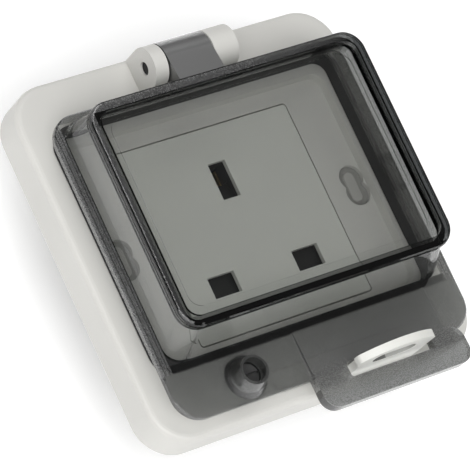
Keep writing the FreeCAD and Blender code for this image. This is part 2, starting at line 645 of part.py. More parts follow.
def make_lid_gasket():
    """Rectangular soft ring under the dome's wall, from the flange down to the plateau."""
    rings = []
    for inset in (LID_GASKET_INSET, LID_GASKET_INSET + LID_GASKET_WIDTH):
        half = DOME_HALF_WIDTH - inset
        rings.append(rounded_block(-half, half, DOME_FRONT_Y + inset, DOME_BACK_Y - inset,
                                   DOME_RADIUS - inset, PLATEAU_Z, FLANGE_Z))
    return rings[0].cut(rings[1])


def make_lid_screw():
    """Captive screw, sunk in the boss with its tip clear of the base."""
    head_top = FLANGE_Z + BOSS_BORE_FLOOR + SCREW_HEAD_HEIGHT
    length = head_top - PLATEAU_Z - SCREW_TIP_GAP
    screw = slotted_screw(BOSS_BORE_RADIUS - SCREW_HEAD_CLEARANCE, SCREW_HEAD_HEIGHT, SCREW_SHANK_RADIUS,
                          length)
    screw.translate(Vector(BOSS_X, BOSS_Y, head_top))
    return screw


def make_screw_retainer():
    """Push-on washer that keeps the screw in the lid."""
    ring = upright(RETAINER_RADIUS, BOSS_X, BOSS_Y, FLANGE_Z - RETAINER_THICKNESS, FLANGE_Z)
    return ring.cut(upright(SCREW_SHANK_RADIUS, BOSS_X, BOSS_Y, FLANGE_Z - RETAINER_THICKNESS - PAST,
                            FLANGE_Z + PAST))


def aperture(x, y, width, height):
    """Cutter for one pin aperture."""
    return box(x - width / 2, x + width / 2, y - height / 2, y + height / 2, PLATE_REAR_Z - PAST,
               FACE_Z + PAST)


def post_places():
    """Centres of the two screw posts, in the corners beside the earth terminal."""
    return [(-POST_OFFSET, POST_OFFSET), (POST_OFFSET, POST_OFFSET)]


def make_socket_faceplate():
    """Square front of the module, with three apertures, side walls and two screw posts."""
    plate = square_block(MODULE_HALF, MODULE_CORNER_RADIUS, PLATE_FOOT_Z, FACE_Z)
    inside = square(MODULE_HALF - PLATE_WALL, PLATE_FOOT_Z - PAST, PLATE_REAR_Z)
    plate = plate.cut(inside)
    posts = [upright(POST_RADIUS, x, y, PLATE_REAR_Z - POST_LENGTH, PLATE_REAR_Z + PLATE_THICKNESS / 2)
             for x, y in post_places()]
    plate = plate.fuse(posts)
    cutters = [upright(BODY_SCREW_RADIUS, x, y, PLATE_REAR_Z - POST_LENGTH - PAST, PLATE_REAR_Z - PAST)
               for x, y in post_places()]
    for x in (-LINE_X, LINE_X):
        cutters.append(aperture(x, LINE_Y, LINE_APERTURE_X, LINE_APERTURE_Y))
    cutters.append(aperture(0, EARTH_Y, EARTH_APERTURE_X, EARTH_APERTURE_Y))
    return plate.cut(cutters).removeSplitter()


def shutter_bounds():
    """Low and high Y of the shutter's bar at rest."""
    half = LINE_APERTURE_Y / 2 + SHUTTER_OVERLAP
    return LINE_Y - half, LINE_Y + half


def shutter_bar_half():
    """Half the length of the shutter's bar."""
    return LINE_X + LINE_APERTURE_X / 2 + SHUTTER_OVERLAP


def shutter_tip_y():
    """Far end of the shutter's stem, halfway up the earth aperture."""
    return EARTH_Y


def shutter_chamber():
    """T-shaped room for the shutter and its travel."""
    low, high = shutter_bounds()
    gap = SHUTTER_SIDE_GAP
    half = shutter_bar_half() + gap
    stem = SHUTTER_STEM_WIDTH / 2 + gap
    top = PLATE_REAR_Z + PAST
    bar = box(-half, half, low - SHUTTER_TRAVEL - gap, high + gap, CHAMBER_Z, top)
    leg = box(-stem, stem, high, shutter_tip_y() + gap, CHAMBER_Z, top)
    return bar.fuse(leg)


def spring_post_y():
    """Low and high Y of the fixed post that the shutter's spring pushes on."""
    low = SPRING_WINDOW_BACK_Y - SPRING_WINDOW_LENGTH + SHUTTER_REAR_GAP
    return low, low + SPRING_POST_LENGTH


def contact_places():
    """Centre, pin size and leaf direction of each contact: line, neutral and earth."""
    return {"line": (LINE_X, LINE_Y, LINE_PIN_X, LINE_PIN_Y, "y"),
            "neutral": (-LINE_X, LINE_Y, LINE_PIN_X, LINE_PIN_Y, "y"),
            "earth": (0, EARTH_Y, EARTH_PIN_X, EARTH_PIN_Y, "x")}


def contact_reach(place):
    """Half sizes of a contact's leaves in X and Y, outside face to outside face."""
    width, height, direction = place[2], place[3], place[4]
    extra = LEAF_GRIP + LEAF_THICKNESS
    if direction == "y":
        return width / 2, height / 2 + extra
    return width / 2 + extra, height / 2


def contact_pocket(place):
    """Pocket in the carrier for one contact, open to the rear, with a narrower way for the plug's pin."""
    x, y, width, height = place[:4]
    half_x, half_y = contact_reach(place)
    gap = POCKET_CLEARANCE
    pocket = box(x - half_x - gap, x + half_x + gap, y - half_y - gap, y + half_y + gap,
                 TERMINAL_TOP_Z - PAST, CHAMBER_Z - CARRIER_WEB)
    half_x = width / 2 + PIN_CLEARANCE
    half_y = height / 2 + PIN_CLEARANCE
    pin_way = box(x - half_x, x + half_x, y - half_y, y + half_y, TERMINAL_TOP_Z, PLATE_REAR_Z + PAST)
    return pocket.fuse(pin_way)


def terminal_pocket(place):
    """Pocket in the rear cover for one terminal, with a screw hole from the rear."""
    x, y = place[:2]
    half = TERMINAL_HALF_WIDTH + POCKET_CLEARANCE
    pocket = box(x - half, x + half, y - half, y + half, TERMINAL_REAR_Z, TERMINAL_TOP_Z + PAST)
    access = upright(TERMINAL_SCREW_HEAD_RADIUS + SCREW_ACCESS_CLEARANCE, x, y, BODY_REAR_Z - PAST,
                     TERMINAL_REAR_Z + PAST)
    return pocket.fuse(access)


def cable_channel(name, place):
    """Round way for a conductor, out through the nearest side of the body."""
    z = (TERMINAL_TOP_Z + TERMINAL_REAR_Z) / 2
    if name == "earth":
        return lengthwise(CABLE_ENTRY_RADIUS, place[0], place[1], BODY_HALF + PAST, z)
    return lengthwise(CABLE_ENTRY_RADIUS, place[0], -BODY_HALF - PAST, place[1], z)


def latch_hook(side):
    """Wedge on the carrier's side that snaps under the base's collar."""
    top = COLLAR_REAR_Z - LATCH_GAP
    reach = OPENING_HALF + LATCH_REACH
    root = BODY_HALF - TONGUE_THICKNESS / 2
    low = top - LATCH_HEIGHT
    corners = [Vector(side * x, -LATCH_WIDTH / 2, z)
               for x, z in ((root, top), (reach, top), (BODY_HALF, low), (root, low))]
    return Part.Face(Part.makePolygon(corners + corners[:1])).extrude(Vector(0, LATCH_WIDTH, 0))


def latch_room(side):
    """Block of the notch round a latch tongue, open to the rear and to the side."""
    half = LATCH_WIDTH / 2 + TONGUE_GAP
    far = OPENING_HALF + LATCH_REACH + PAST
    ends = sorted((side * (BODY_HALF - TONGUE_THICKNESS - TONGUE_GAP), side * far))
    return box(ends[0], ends[1], -half, half, BODY_REAR_Z - PAST, TONGUE_ROOT_Z)


def latch_tongue(side):
    """Block of the springy tongue and of its hook."""
    far = OPENING_HALF + LATCH_REACH + 2 * PAST
    ends = sorted((side * (BODY_HALF - TONGUE_THICKNESS), side * far))
    return box(ends[0], ends[1], -LATCH_WIDTH / 2, LATCH_WIDTH / 2, BODY_REAR_Z - 2 * PAST,
               TONGUE_ROOT_Z + PAST)


def screw_bores():
    """Cutters for the posts, the screws' shanks and their heads."""
    cutters = []
    head_z = BODY_REAR_Z + BODY_SCREW_RECESS + BODY_SCREW_HEAD_HEIGHT
    post_end = PLATE_REAR_Z - POST_LENGTH - POST_CLEARANCE
    for x, y in post_places():
        cutters.append(upright(POST_RADIUS + POST_CLEARANCE, x, y, post_end, PLATE_REAR_Z + PAST))
        cutters.append(upright(BODY_SCREW_RADIUS + POST_CLEARANCE, x, y, head_z - PAST, post_end + PAST))
        cutters.append(upright(BODY_SCREW_HEAD_RADIUS + POST_CLEARANCE, x, y, BODY_REAR_Z - PAST, head_z))
    return cutters


def make_contact_carrier():
    """Middle moulding that holds the contacts and the shutter, with a sprung latch on each side."""
    carrier = square(BODY_HALF, TERMINAL_TOP_Z, PLATE_REAR_Z)
    carrier = carrier.fuse([latch_hook(side) for side in (-1, 1)])
    cutters = [shutter_chamber()] + [latch_room(side).cut(latch_tongue(side)) for side in (-1, 1)]
    cutters += [contact_pocket(place) for place in contact_places().values()] + screw_bores()
    carrier = carrier.cut(cutters)
    low, high = spring_post_y()
    post = box(-SPRING_POST_WIDTH / 2, SPRING_POST_WIDTH / 2, low, high, CHAMBER_Z - PAST,
               PLATE_REAR_Z - SHUTTER_REAR_GAP)
    return carrier.fuse(post).removeSplitter()


def make_rear_cover():
    """Rear moulding that holds the terminals, with cable ways and screw holes."""
    cover = square(BODY_HALF, BODY_REAR_Z, TERMINAL_TOP_Z)
    cutters = [latch_room(side) for side in (-1, 1)] + screw_bores()
    for name, place in contact_places().items():
        cutters += [terminal_pocket(place), cable_channel(name, place)]
    return cover.cut(cutters).removeSplitter()


def make_shutter():
    """T-shaped shutter: a bar over two apertures and a stem with a ramp under the earth aperture."""
    low, high = shutter_bounds()
    z0 = CHAMBER_Z + SHUTTER_REAR_GAP
    z1 = z0 + SHUTTER_THICKNESS
    half = shutter_bar_half()
    stem = SHUTTER_STEM_WIDTH / 2
    tip = shutter_tip_y()
    bar = box(-half, half, low, high, z0, z1)
    leg = box(-stem, stem, high - PAST, tip, z0, z1)
    low_z = z0 + SHUTTER_RAMP_TIP
    ramp = side_profile([(tip - SHUTTER_RAMP_LENGTH, z1), (tip + PAST, z1), (tip + PAST, low_z),
                         (tip, low_z)], -half, half)
    window = box(-SPRING_WINDOW_WIDTH / 2, SPRING_WINDOW_WIDTH / 2,
                 SPRING_WINDOW_BACK_Y - SPRING_WINDOW_LENGTH, SPRING_WINDOW_BACK_Y, z0 - PAST, z1 + PAST)
    return bar.fuse(leg).cut([ramp, window]).removeSplitter()


def make_shutter_spring():
    """Coil of square wire in short straight runs, from the fixed post to the far end of the window."""
    start = spring_post_y()[1] + SPRING_END_GAP + SPRING_WIRE_HALF
    end = SPRING_WINDOW_BACK_Y - SPRING_END_GAP - SPRING_WIRE_HALF
    length = end - start
    points = []
    for step in range(SPRING_TURNS * SPRING_SIDES + 1):
        turn = 2 * math.pi * step / SPRING_SIDES
        rise = length * step / (SPRING_TURNS * SPRING_SIDES)
        points.append(Vector(SPRING_RADIUS * math.cos(turn), SPRING_RADIUS * math.sin(turn), rise))
    half = SPRING_WIRE_HALF
    corners = [Vector(SPRING_RADIUS + x, 0, z)
               for x, z in ((-half, -half), (half, -half), (half, half), (-half, half))]
    section = Part.makePolygon(corners + corners[:1])
    coil = Part.makePolygon(points).makePipeShell([section], True, False, 1)
    coil.rotate(Vector(0, 0, 0), Vector(1, 0, 0), -90)
    coil.translate(Vector(0, start, CHAMBER_Z + SHUTTER_REAR_GAP + SHUTTER_THICKNESS / 2))
    return coil


def make_contact(place):
    """Bent strip: two leaves that grip the plug's pin and a web that lies on the terminal block."""
    x, y, direction = place[0], place[1], place[4]
    top = CHAMBER_Z - CARRIER_WEB - CONTACT_TOP_GAP
    half_x, half_y = contact_reach(place)
    clip = box(x - half_x, x + half_x, y - half_y, y + half_y, TERMINAL_TOP_Z, top)
    if direction == "y":
        inside_x, inside_y = half_x + PAST, half_y - LEAF_THICKNESS
    else:
        inside_x, inside_y = half_x - LEAF_THICKNESS, half_y + PAST
    gap = box(x - inside_x, x + inside_x, y - inside_y, y + inside_y, TERMINAL_TOP_Z + LEAF_THICKNESS,
              top + PAST)
    return clip.cut(gap)


def make_terminal(place):
    """Brass block with a cable hole along Y and a screw hole from the rear."""
    x, y = place[:2]
    half = TERMINAL_HALF_WIDTH
    block = box(x - half, x + half, y - half, y + half, TERMINAL_REAR_Z, TERMINAL_TOP_Z)
    middle = (TERMINAL_TOP_Z + TERMINAL_REAR_Z) / 2
    cable = lengthwise(TERMINAL_HOLE_RADIUS, x, y - half - PAST, y + half + PAST, middle)
    screw = upright(TERMINAL_SCREW_RADIUS + TERMINAL_SCREW_CLEARANCE, x, y, TERMINAL_REAR_Z - PAST, middle)
    return block.cut([cable, screw]).removeSplitter()


def make_terminal_screws():
    """Three clamp screws, one in the rear of each terminal."""
    screws = []
    for place in contact_places().values():
        head_z = TERMINAL_REAR_Z - TERMINAL_SCREW_HEAD_HEIGHT
        length = (TERMINAL_TOP_Z + TERMINAL_REAR_Z) / 2 - head_z - TERMINAL_HOLE_RADIUS / 2
        screw = slotted_screw(TERMINAL_SCREW_HEAD_RADIUS, TERMINAL_SCREW_HEAD_HEIGHT,
                              TERMINAL_SCREW_RADIUS, length)
        screw.rotate(Vector(0, 0, 0), Vector(1, 0, 0), 180)
        screw.translate(Vector(place[0], place[1], head_z))
        screws.append(screw)
    return Part.makeCompound(screws)


def make_body_screws():
    """Two long screws from the rear that hold the body to the faceplate."""
    screws = []
    head_z = BODY_REAR_Z + BODY_SCREW_RECESS
    length = PLATE_REAR_Z - POST_LENGTH + BODY_SCREW_BITE - head_z
    for x, y in post_places():
        screw = slotted_screw(BODY_SCREW_HEAD_RADIUS, BODY_SCREW_HEAD_HEIGHT, BODY_SCREW_RADIUS, length)
        screw.rotate(Vector(0, 0, 0), Vector(1, 0, 0), 180)
        screw.translate(Vector(x, y, head_z))
        screws.append(screw)
    return Part.makeCompound(screws)


def main():
    """Builds every piece and writes one STEP file for each."""
    places = contact_places()
    pieces = {"base_frame": make_base_frame(), "panel_gasket": make_panel_gasket(),
              "hinge_pin": make_hinge_pin(), "lid": make_lid(), "lid_gasket": make_lid_gasket(),
              "lid_screw": make_lid_screw(), "screw_retainer": make_screw_retainer(),
              "socket_faceplate": make_socket_faceplate(), "contact_carrier": make_contact_carrier(),
              "rear_cover": make_rear_cover(),
              "shutter": make_shutter(), "shutter_spring": make_shutter_spring(),
              "terminal_screws": make_terminal_screws(), "body_screws": make_body_screws(),
              "padlock_eye": make_padlock_eye()}
    for pole, place in places.items():
        pieces[pole + "_contact"] = make_contact(place)
        pieces[pole + "_terminal"] = make_terminal(place)
    os.makedirs("parts", exist_ok=True)
    for name, shape in pieces.items():
        shape.exportStep("parts/" + name + ".step")
        print(name, "solids", len(shape.Solids), "valid", shape.isValid(), "volume", round(shape.Volume, 1))


main()
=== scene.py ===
"""Finishes and surroundings for the weatherproof socket with a smoked lid.

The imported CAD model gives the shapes. This add-on gives every piece a procedural material, adds the
fine pieces that belong to the surfaces, and sets up the floor, the lights and the camera. Lengths in
the operators are metres, in the model's own frame: +Z out of the panel, +Y towards the hinge.
"""

import bpy
import numpy as np
from bpy.props import FloatProperty, FloatVectorProperty, PointerProperty
from bpy.types import Operator, Panel, PropertyGroup
from mathutils import Matrix, Vector


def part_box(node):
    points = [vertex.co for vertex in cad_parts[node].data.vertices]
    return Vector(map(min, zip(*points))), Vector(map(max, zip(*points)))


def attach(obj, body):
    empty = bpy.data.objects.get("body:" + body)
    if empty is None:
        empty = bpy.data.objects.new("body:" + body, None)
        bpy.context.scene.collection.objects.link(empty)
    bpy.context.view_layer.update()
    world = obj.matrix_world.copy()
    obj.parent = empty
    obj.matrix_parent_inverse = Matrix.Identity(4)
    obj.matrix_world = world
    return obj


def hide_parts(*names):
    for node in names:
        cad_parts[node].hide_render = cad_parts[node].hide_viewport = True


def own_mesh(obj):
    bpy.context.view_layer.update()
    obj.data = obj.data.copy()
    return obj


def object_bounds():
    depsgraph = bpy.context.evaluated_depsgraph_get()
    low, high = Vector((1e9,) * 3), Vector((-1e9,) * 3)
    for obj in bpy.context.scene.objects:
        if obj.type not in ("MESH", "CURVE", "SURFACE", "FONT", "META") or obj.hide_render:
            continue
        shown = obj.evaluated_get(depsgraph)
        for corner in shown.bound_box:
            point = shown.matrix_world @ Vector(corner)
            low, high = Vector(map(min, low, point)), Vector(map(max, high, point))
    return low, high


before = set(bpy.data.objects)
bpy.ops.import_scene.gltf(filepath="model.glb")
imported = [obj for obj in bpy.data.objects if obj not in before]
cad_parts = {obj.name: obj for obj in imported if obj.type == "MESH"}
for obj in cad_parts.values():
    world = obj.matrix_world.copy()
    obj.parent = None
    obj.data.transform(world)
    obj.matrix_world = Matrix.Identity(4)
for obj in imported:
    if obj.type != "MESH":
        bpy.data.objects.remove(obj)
CAD_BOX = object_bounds()

bl_info = {
    "name": "Weatherproof socket finishes",
    "version": (1, 0, 0),
    "blender": (4, 5, 0),
    "location": "3D View > Sidebar > Socket",
    "description": "Materials, surroundings and camera for a weatherproof socket with a smoked lid",
    "category": "Material",
}

MM = 0.001
SHANK_RADIUS = 1.4 * MM

# The fixing recesses of the base frame, and the knock-out pad on the floor of each; floor and pad take
# painted shade. The pad is a circle whose halves are moved apart along Y, with an edge that draws in at
# the top.
FIXING_X = 30.15 * MM
RECESS_FLOOR_Z = 6.4 * MM
RECESS_HALF_WIDTH = 3.1 * MM
RECESS_HALF_LENGTH = 5.2 * MM
PAD_RADIUS = 1.35 * MM
PAD_HALF_LENGTH = 2.2 * MM
PAD_HEIGHT = 0.4 * MM
PAD_EDGE = 0.4 * MM

# The padlock eye's hole, whose inside takes painted shade, and the left part of it more so. The eye's two
# faces, to the depth of the skin, take none.
EYE_HOLE_X = (7.4 * MM, 18.8 * MM)
EYE_DEEP_SHADE_X = (7.4 * MM, 12.2 * MM)
EYE_HOLE_Z = (17.2 * MM, 22.2 * MM)
EYE_SKIN = 0.05 * MM

# The frame's front edge, the places where the lid's finish changes, and the places of its painted light and
# shade. A pair is where a change begins and ends.
FRAME_FRONT_Y = -42.2 * MM
FLANGE_TOP_Z = 15.5 * MM
FLANGE_SIDE_X = 36.2 * MM
FLANGE_FRONT_Y = -28.4 * MM
FLANGE_REAR_Y = 30.6 * MM
FLANGE_GROOVES_X = (37.9 * MM, 36.8 * MM)
GROOVE_HALF_WIDTH = 0.1 * MM
TAB_LEFT_X = -5.7 * MM
TAB_EDGE_Z = (14.1 * MM, 16.6 * MM)
TAB_SHEEN_Y = (-46.0 * MM, -31.0 * MM)
KNUCKLE_X = -1.45 * MM
KNUCKLE_HALF_WIDTH = 6.2 * MM
KNUCKLE_FRONT_Y = 29.2 * MM
KNUCKLE_TOP_Z = 24.9 * MM
DOME_FOOT_FRONT_Y = -26.6 * MM
DOME_REAR_Y = 26.4 * MM
DOME_REAR_SHADE_Z = (18.5 * MM, 21.5 * MM)
RIM_LOW_Z = 24.95 * MM
RIM_SIDE_X = 33.2 * MM
RIM_FRONT_Y = -20.9 * MM
RIM_REAR_Y = 26.8 * MM
RIM_FACE_Z = 27.3 * MM
RIM_FACE_SIDE_X = 34.1 * MM
RIM_FACE_REAR_Y = 27.2 * MM
LEFT_SHEEN_Y = (-12.0 * MM, 25.0 * MM)
HINGE_SHEEN_X = (5.0 * MM, 33.0 * MM)

# How much painted shade, in the rim's painted-shade colour, a clear face takes: the rim, its right and
# front beside that, and two strips
RIM_PAINTED_SHADE_SHARE = 0.85
RIM_RIGHT_MORE_SHADE = 0.15
RIM_FRONT_LESS_SHADE = 0.06
DOME_FOOT_PAINTED_SHADE = 0.85
DOME_REAR_PAINTED_SHADE = 0.72

# Painted light on the tab's front and painted shade on its edge, the edge's lost sheen, the knuckle's sheen
# and the grooves' painted shade, as shares, and the depths of the texture and the grooves beside each other
OVERHANG_PAINTED_LIGHT = 0.45
TAB_EDGE_PAINTED_SHADE = 0.95
TAB_EDGE_LESS_SHEEN = 0.7
KNUCKLE_SHEEN = 0.92
GROOVE_SHADE = 0.7
GROOVE_DEPTH = 1.6
TEXTURE_DEPTH = 0.4
COARSE_DEPTH = 0.7

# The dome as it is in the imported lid: the heights of the frame's plateau, of the flange's underside and of
# the dome's foot and top, and the dome's half width, front, back and corner radius. A pair holds the size
# at the foot and at the top.
DOME = {
    "plateau": 9.7 * MM, "flange": 14.0 * MM, "foot": 15.5 * MM, "top": 26.2 * MM,
    "half": (36.0 * MM, 34.6 * MM), "front": (-26.9 * MM, -22.5 * MM), "back": (30.4 * MM, 28.4 * MM),
    "corner": 4.6 * MM,
}

# Each lamp's name, place and side, and the camera's directions
LAMPS = (("key", (-0.9, -0.6, 1.7), 1.8), ("fill", (0.4, -1.5, 1.2), 1.2), ("back", (0.2, 1.3, 1.5), 1.2))
CAMERA_RIGHT = Vector((0.8156, -0.4152, 0.4029))
CAMERA_DOWN = Vector((-0.2644, -0.8869, -0.3788))
CAMERA_FORWARD = Vector((0.5146, 0.2028, -0.8331))
FLOOR_SIZE = 6.0

# Kinds of group sockets, what most skins put out, and the span that most of a noise lies in
COLOUR, NUMBER, VECTOR = "NodeSocketColor", "NodeSocketFloat", "NodeSocketVector"
SKIN_OUTPUTS = (("Colour", COLOUR), ("Roughness", NUMBER), ("Height", NUMBER))
NOISE_SPAN = (0.35, 0.65)

# Added before a sign is taken, so that zero counts as positive
TINY = 1e-9


def colour(name, value, text):
    """A colour setting with four channels."""
    return FloatVectorProperty(name=name, description=text, default=value, size=4, min=0.0, max=1.0,
                               subtype="COLOR")


def share(name, value, text):
    """A setting from 0 to 1."""
    return FloatProperty(name=name, description=text, default=value, min=0.0, max=1.0, subtype="FACTOR")


def length(name, value, text, **limits):
    """A setting in metres."""
    return FloatProperty(name=name, description=text, default=value, unit="LENGTH", **limits)


def amount(name, value, text, low=0.0, **kind):
    """A setting with a lowest value."""
    return FloatProperty(name=name, description=text, default=value, min=low, **kind)


class MouldingSettings(PropertyGroup):
    """Colours and surface of the opaque mouldings."""
    frame_colour: colour("Frame", (0.60, 0.593, 0.565, 1.0), "Warm light grey of the square base frame")
    eye_colour: colour("Padlock eye", (0.70, 0.70, 0.665, 1.0), "Near white of the padlock eye")
    module_colour: colour("Module", (0.65, 0.655, 0.615, 1.0), "Light grey of the socket's front")
    housing_colour: colour("Rear cover", (0.60, 0.60, 0.585, 1.0), "Light grey of the moulding at the rear")
    carrier_colour: colour("Carrier", (0.035, 0.035, 0.036, 1.0), "Dark moulding that holds the contacts")
    shutter_colour: colour("Shutter", (0.012, 0.012, 0.012, 1.0), "Black moulding behind the apertures")
    recess_shade: share("Recess shade", 0.5, "Share of light left on the recesses' floor")
    roughness: share("Roughness", 0.42, "Mean roughness of the mouldings")
    grain: length("Grain", 0.35 * MM, "Size of the fine mould texture", min=0.05 * MM)


class LidSettings(PropertyGroup):
    """Tint and gloss of the see-through lid."""
    tint: colour("Tint", (0.36, 0.37, 0.36, 1.0), "Colour that the smoked moulding lets through")
    density: amount("Density", 555.0, "Strength of the smoke, per metre")
    textured_tint: colour("Textured tint", (0.40, 0.405, 0.40, 1.0), "Light left by a textured face")
    # Painted shade: the rim's polished faces, a strip along the dome's front foot and the upper hinge wall
    # are darkened towards this colour
    rim_painted_shade: colour("Rim tint", (0.15, 0.155, 0.16, 1.0), "Light left by a polished face of the rim")
    polish: share("Polished roughness", 0.015, "Roughness of the clear faces")
    texture: share("Textured roughness", 0.12, "Roughness of the textured faces")
    coat_roughness: share("Sheen roughness", 0.42, "Roughness of the textured outer skin")
    grain: length("Grain", 0.27 * MM, "Size of the mould texture", min=0.05 * MM)


class SealSettings(PropertyGroup):
    """Section of the seal under the lid's dome."""
    lip_inset: length("Lip inset", 0.15 * MM, "From the dome's outside to the seal's outside")
    lip_width: length("Lip width", 0.9 * MM, "Thickness of the soft lip at its foot")
    root_width: length("Root width", 1.4 * MM, "Thickness of the seal under the flange")
    flare: length("Flare", 0.95 * MM, "How far the lip spreads outside the dome")


class HardwareSettings(PropertyGroup):
    """Sizes of the wire spring and the screw's thread."""
    spring_radius: length("Spring radius", 0.95 * MM, "From the spring's middle to the wire's")
    wire_radius: length("Wire radius", 0.18 * MM, "Half the thickness of the wire")
    spring_turns: amount("Open turns", 5.5, "Turns between the two closed ends", 1.0)
    thread_pitch: length("Thread pitch", 0.8 * MM, "Rise of the screw's thread in one turn")
    thread_depth: length("Thread depth", 0.2 * MM, "How far the thread stands out of the shank")


class StageSettings(PropertyGroup):
    """Floor, lamps and camera."""
    floor_colour: colour("Floor", (0.93, 0.93, 0.93, 1.0), "Plain pale floor")
    floor_glow: amount("Floor glow", 0.2, "Light of the floor itself, which softens the shadow")
    sky: amount("Surroundings", 0.16, "Strength of the even light from all round")
    key_power: amount("Key lamp", 42.0, "Power of the large lamp at the left", unit="POWER")
    fill_power: amount("Fill lamp", 9.5, "Power of the lamp in front", unit="POWER")
    back_power: amount("Back lamp", 12.0, "Power of the lamp beyond the hinge", unit="POWER")
    camera_place: FloatVectorProperty(name="Camera", description="Where the camera stands", size=3,
                                      default=(-0.4140, -0.1640, 0.6728), subtype="TRANSLATION",
                                      unit="LENGTH")
    lens: amount("Lens", 282.9, "Focal length on a 36 mm sensor, in millimetres", 1.0)


class Sketch:
    """Adds nodes to a node tree and joins them.

    A value that a method is given is either a socket, which it links from, or a plain value, which it sets.
    """

    def __init__(self, tree):
        self.nodes = tree.nodes
        self.link = tree.links.new

    def add(self, kind, given=None, **settings):
        """A node of one kind, with its own settings, fed with the given values by input name or number."""
        node = self.nodes.new(kind)
        for name, value in settings.items():
            setattr(node, name, value)
        for name, value in (given or {}).items():
            if isinstance(value, bpy.types.NodeSocket):
                self.link(value, node.inputs[name])
            else:
                node.inputs[name].default_value = value
        return node

    def group(self, tree, given):
        """A shared node group, as its outputs."""
        return self.add("ShaderNodeGroup", given, node_tree=tree).outputs

    def place(self):
        """The place on the object, as one vector."""
        return self.add("ShaderNodeTexCoord").outputs["Object"]

    def split(self, vector):
        """The three parts of a vector."""
        return self.add("ShaderNodeSeparateXYZ", {"Vector": vector}).outputs

    def noise(self, vector, scale, detail):
        """Noise without a direction."""
        given = {"Vector": vector, "Scale": scale, "Detail": detail}
        return self.add("ShaderNodeTexNoise", given).outputs["Fac"]

    def maths(self, operation, *values):
        """One step of arithmetic."""
        return self.add("ShaderNodeMath", dict(enumerate(values)), operation=operation).outputs[0]

    def times(self, *values):
        """The values multiplied, which for masks is where all of them hold."""
        product = values[0]
        for value in values[1:]:
            product = self.maths("MULTIPLY", product, value)
        return product

    def largest(self, *values):
        """The largest of the values, which for masks is where any of them holds."""
        most = values[0]
        for value in values[1:]:
            most = self.maths("MAXIMUM", most, value)
        return most

    def above(self, value, limit):
        """A mask of where the value is over the limit."""
        return self.maths("GREATER_THAN", value, limit)

    def below(self, value, limit):
        """A mask of where the value is under the limit."""
        return self.maths("LESS_THAN", value, limit)

    def spread(self, value, first, last, low, high):
        """A value from first to last carried over to low to high, and held there beyond."""
        given = {"Value": value, "From Min": first, "From Max": last, "To Min": low, "To Max": high}
        return self.add("ShaderNodeMapRange", given).outputs["Result"]

    def scaled(self, tint, factor):
        """A colour times a number."""
        given = {0: tint, "Scale": factor}
        return self.add("ShaderNodeVectorMath", given, operation="SCALE").outputs["Vector"]

    def mixed(self, factor, first, second):
        """A colour between two colours."""
        given = {"Factor": factor, 6: first, 7: second}
        return self.add("ShaderNodeMix", given, data_type="RGBA").outputs[2]

    def relief(self, shader, height, distance, strength):
        """Feeds a height to the shader's normal, as relief of the given depth."""
        bump = self.add("ShaderNodeBump", {"Height": height, "Distance": distance, "Strength": strength})
        self.link(bump.outputs["Normal"], shader.inputs["Normal"])


def shared_group(name, inputs, outputs, fill):
    """The shader group of that name, made when it is first asked for.

    The inputs are (name, kind, value) and the outputs (name, kind). fill(sketch, given) gets the inputs and
    returns what goes to each output, by name.
    """
    if name in bpy.data.node_groups:
        return bpy.data.node_groups[name]
    tree = bpy.data.node_groups.new(name, "ShaderNodeTree")
    for label, kind, value in inputs:
        tree.interface.new_socket(name=label, in_out="INPUT", socket_type=kind).default_value = value
    for label, kind in outputs:
        tree.interface.new_socket(name=label, in_out="OUTPUT", socket_type=kind)
    start, end = tree.nodes.new("NodeGroupInput"), tree.nodes.new("NodeGroupOutput")
    for label, result in fill(Sketch(tree), start.outputs).items():
        tree.links.new(result, end.inputs[label])
    return tree


def moulded_skin_group():
    """Shader group: fine mould texture as height, with slow drifts of shade and roughness."""
    def fill(sketch, given):
        place = sketch.place()
        grain = sketch.noise(place, sketch.maths("DIVIDE", 1.0, given["Grain"]), 3.0)
        darkest = sketch.maths("SUBTRACT", 1.0, given["Drift"])
        shade = sketch.spread(sketch.noise(place, 60.0, 2.0), 0.3, 0.7, darkest, 1.0)
        return {"Colour": sketch.scaled(given["Colour"], shade),
                "Roughness": sketch.maths("MULTIPLY_ADD", grain, 0.12, given["Roughness"]),
                "Height": grain}

    return shared_group("Moulded skin",
                        (("Colour", COLOUR, (0.8, 0.8, 0.8, 1.0)), ("Grain", NUMBER, 0.35 * MM),
                         ("Roughness", NUMBER, 0.4), ("Drift", NUMBER, 0.03)),
                        SKIN_OUTPUTS, fill)


def drawn_metal_group():
    """Shader group: fine drawn lines for metal, as a shade, a roughness and a height."""
    def fill(sketch, given):
        drawn_out = {"Vector": sketch.place(), "Scale": (300.0, 4000.0, 4000.0)}
        lines = sketch.noise(sketch.add("ShaderNodeMapping", drawn_out).outputs["Vector"], 1.0, 2.0)
        return {"Colour": sketch.scaled(given["Colour"], sketch.spread(lines, 0.0, 1.0, 0.86, 1.06)),
                "Roughness": sketch.maths("MULTIPLY_ADD", lines, 0.2, given["Roughness"]),
                "Height": lines}

    return shared_group("Drawn metal",
                        (("Colour", COLOUR, (0.7, 0.7, 0.7, 1.0)), ("Roughness", NUMBER, 0.3)),
                        SKIN_OUTPUTS, fill)


def sunk_shade_group():
    """Shader group: paints shade into a colour inside a box and in its mirror image across x = 0."""
    def fill(sketch, given):
        x, y, z = sketch.split(sketch.place())
        low, high = sketch.split(given["Low"]), sketch.split(given["High"])
        inside = []
        for index, value in enumerate((sketch.maths("ABSOLUTE", x), y, z)):
            inside += [sketch.above(value, low[index]), sketch.below(value, high[index])]
        dark = sketch.scaled(given["Colour"], given["Shade"])
        return {"Colour": sketch.mixed(sketch.times(*inside), given["Colour"], dark)}

    return shared_group("Sunk shade",
                        (("Colour", COLOUR, (0.6, 0.6, 0.6, 1.0)), ("Shade", NUMBER, 0.75),
                         ("Low", VECTOR, (0.0, 0.0, 0.0)), ("High", VECTOR, (0.01, 0.01, 0.01))),
                        (("Colour", COLOUR),), fill)


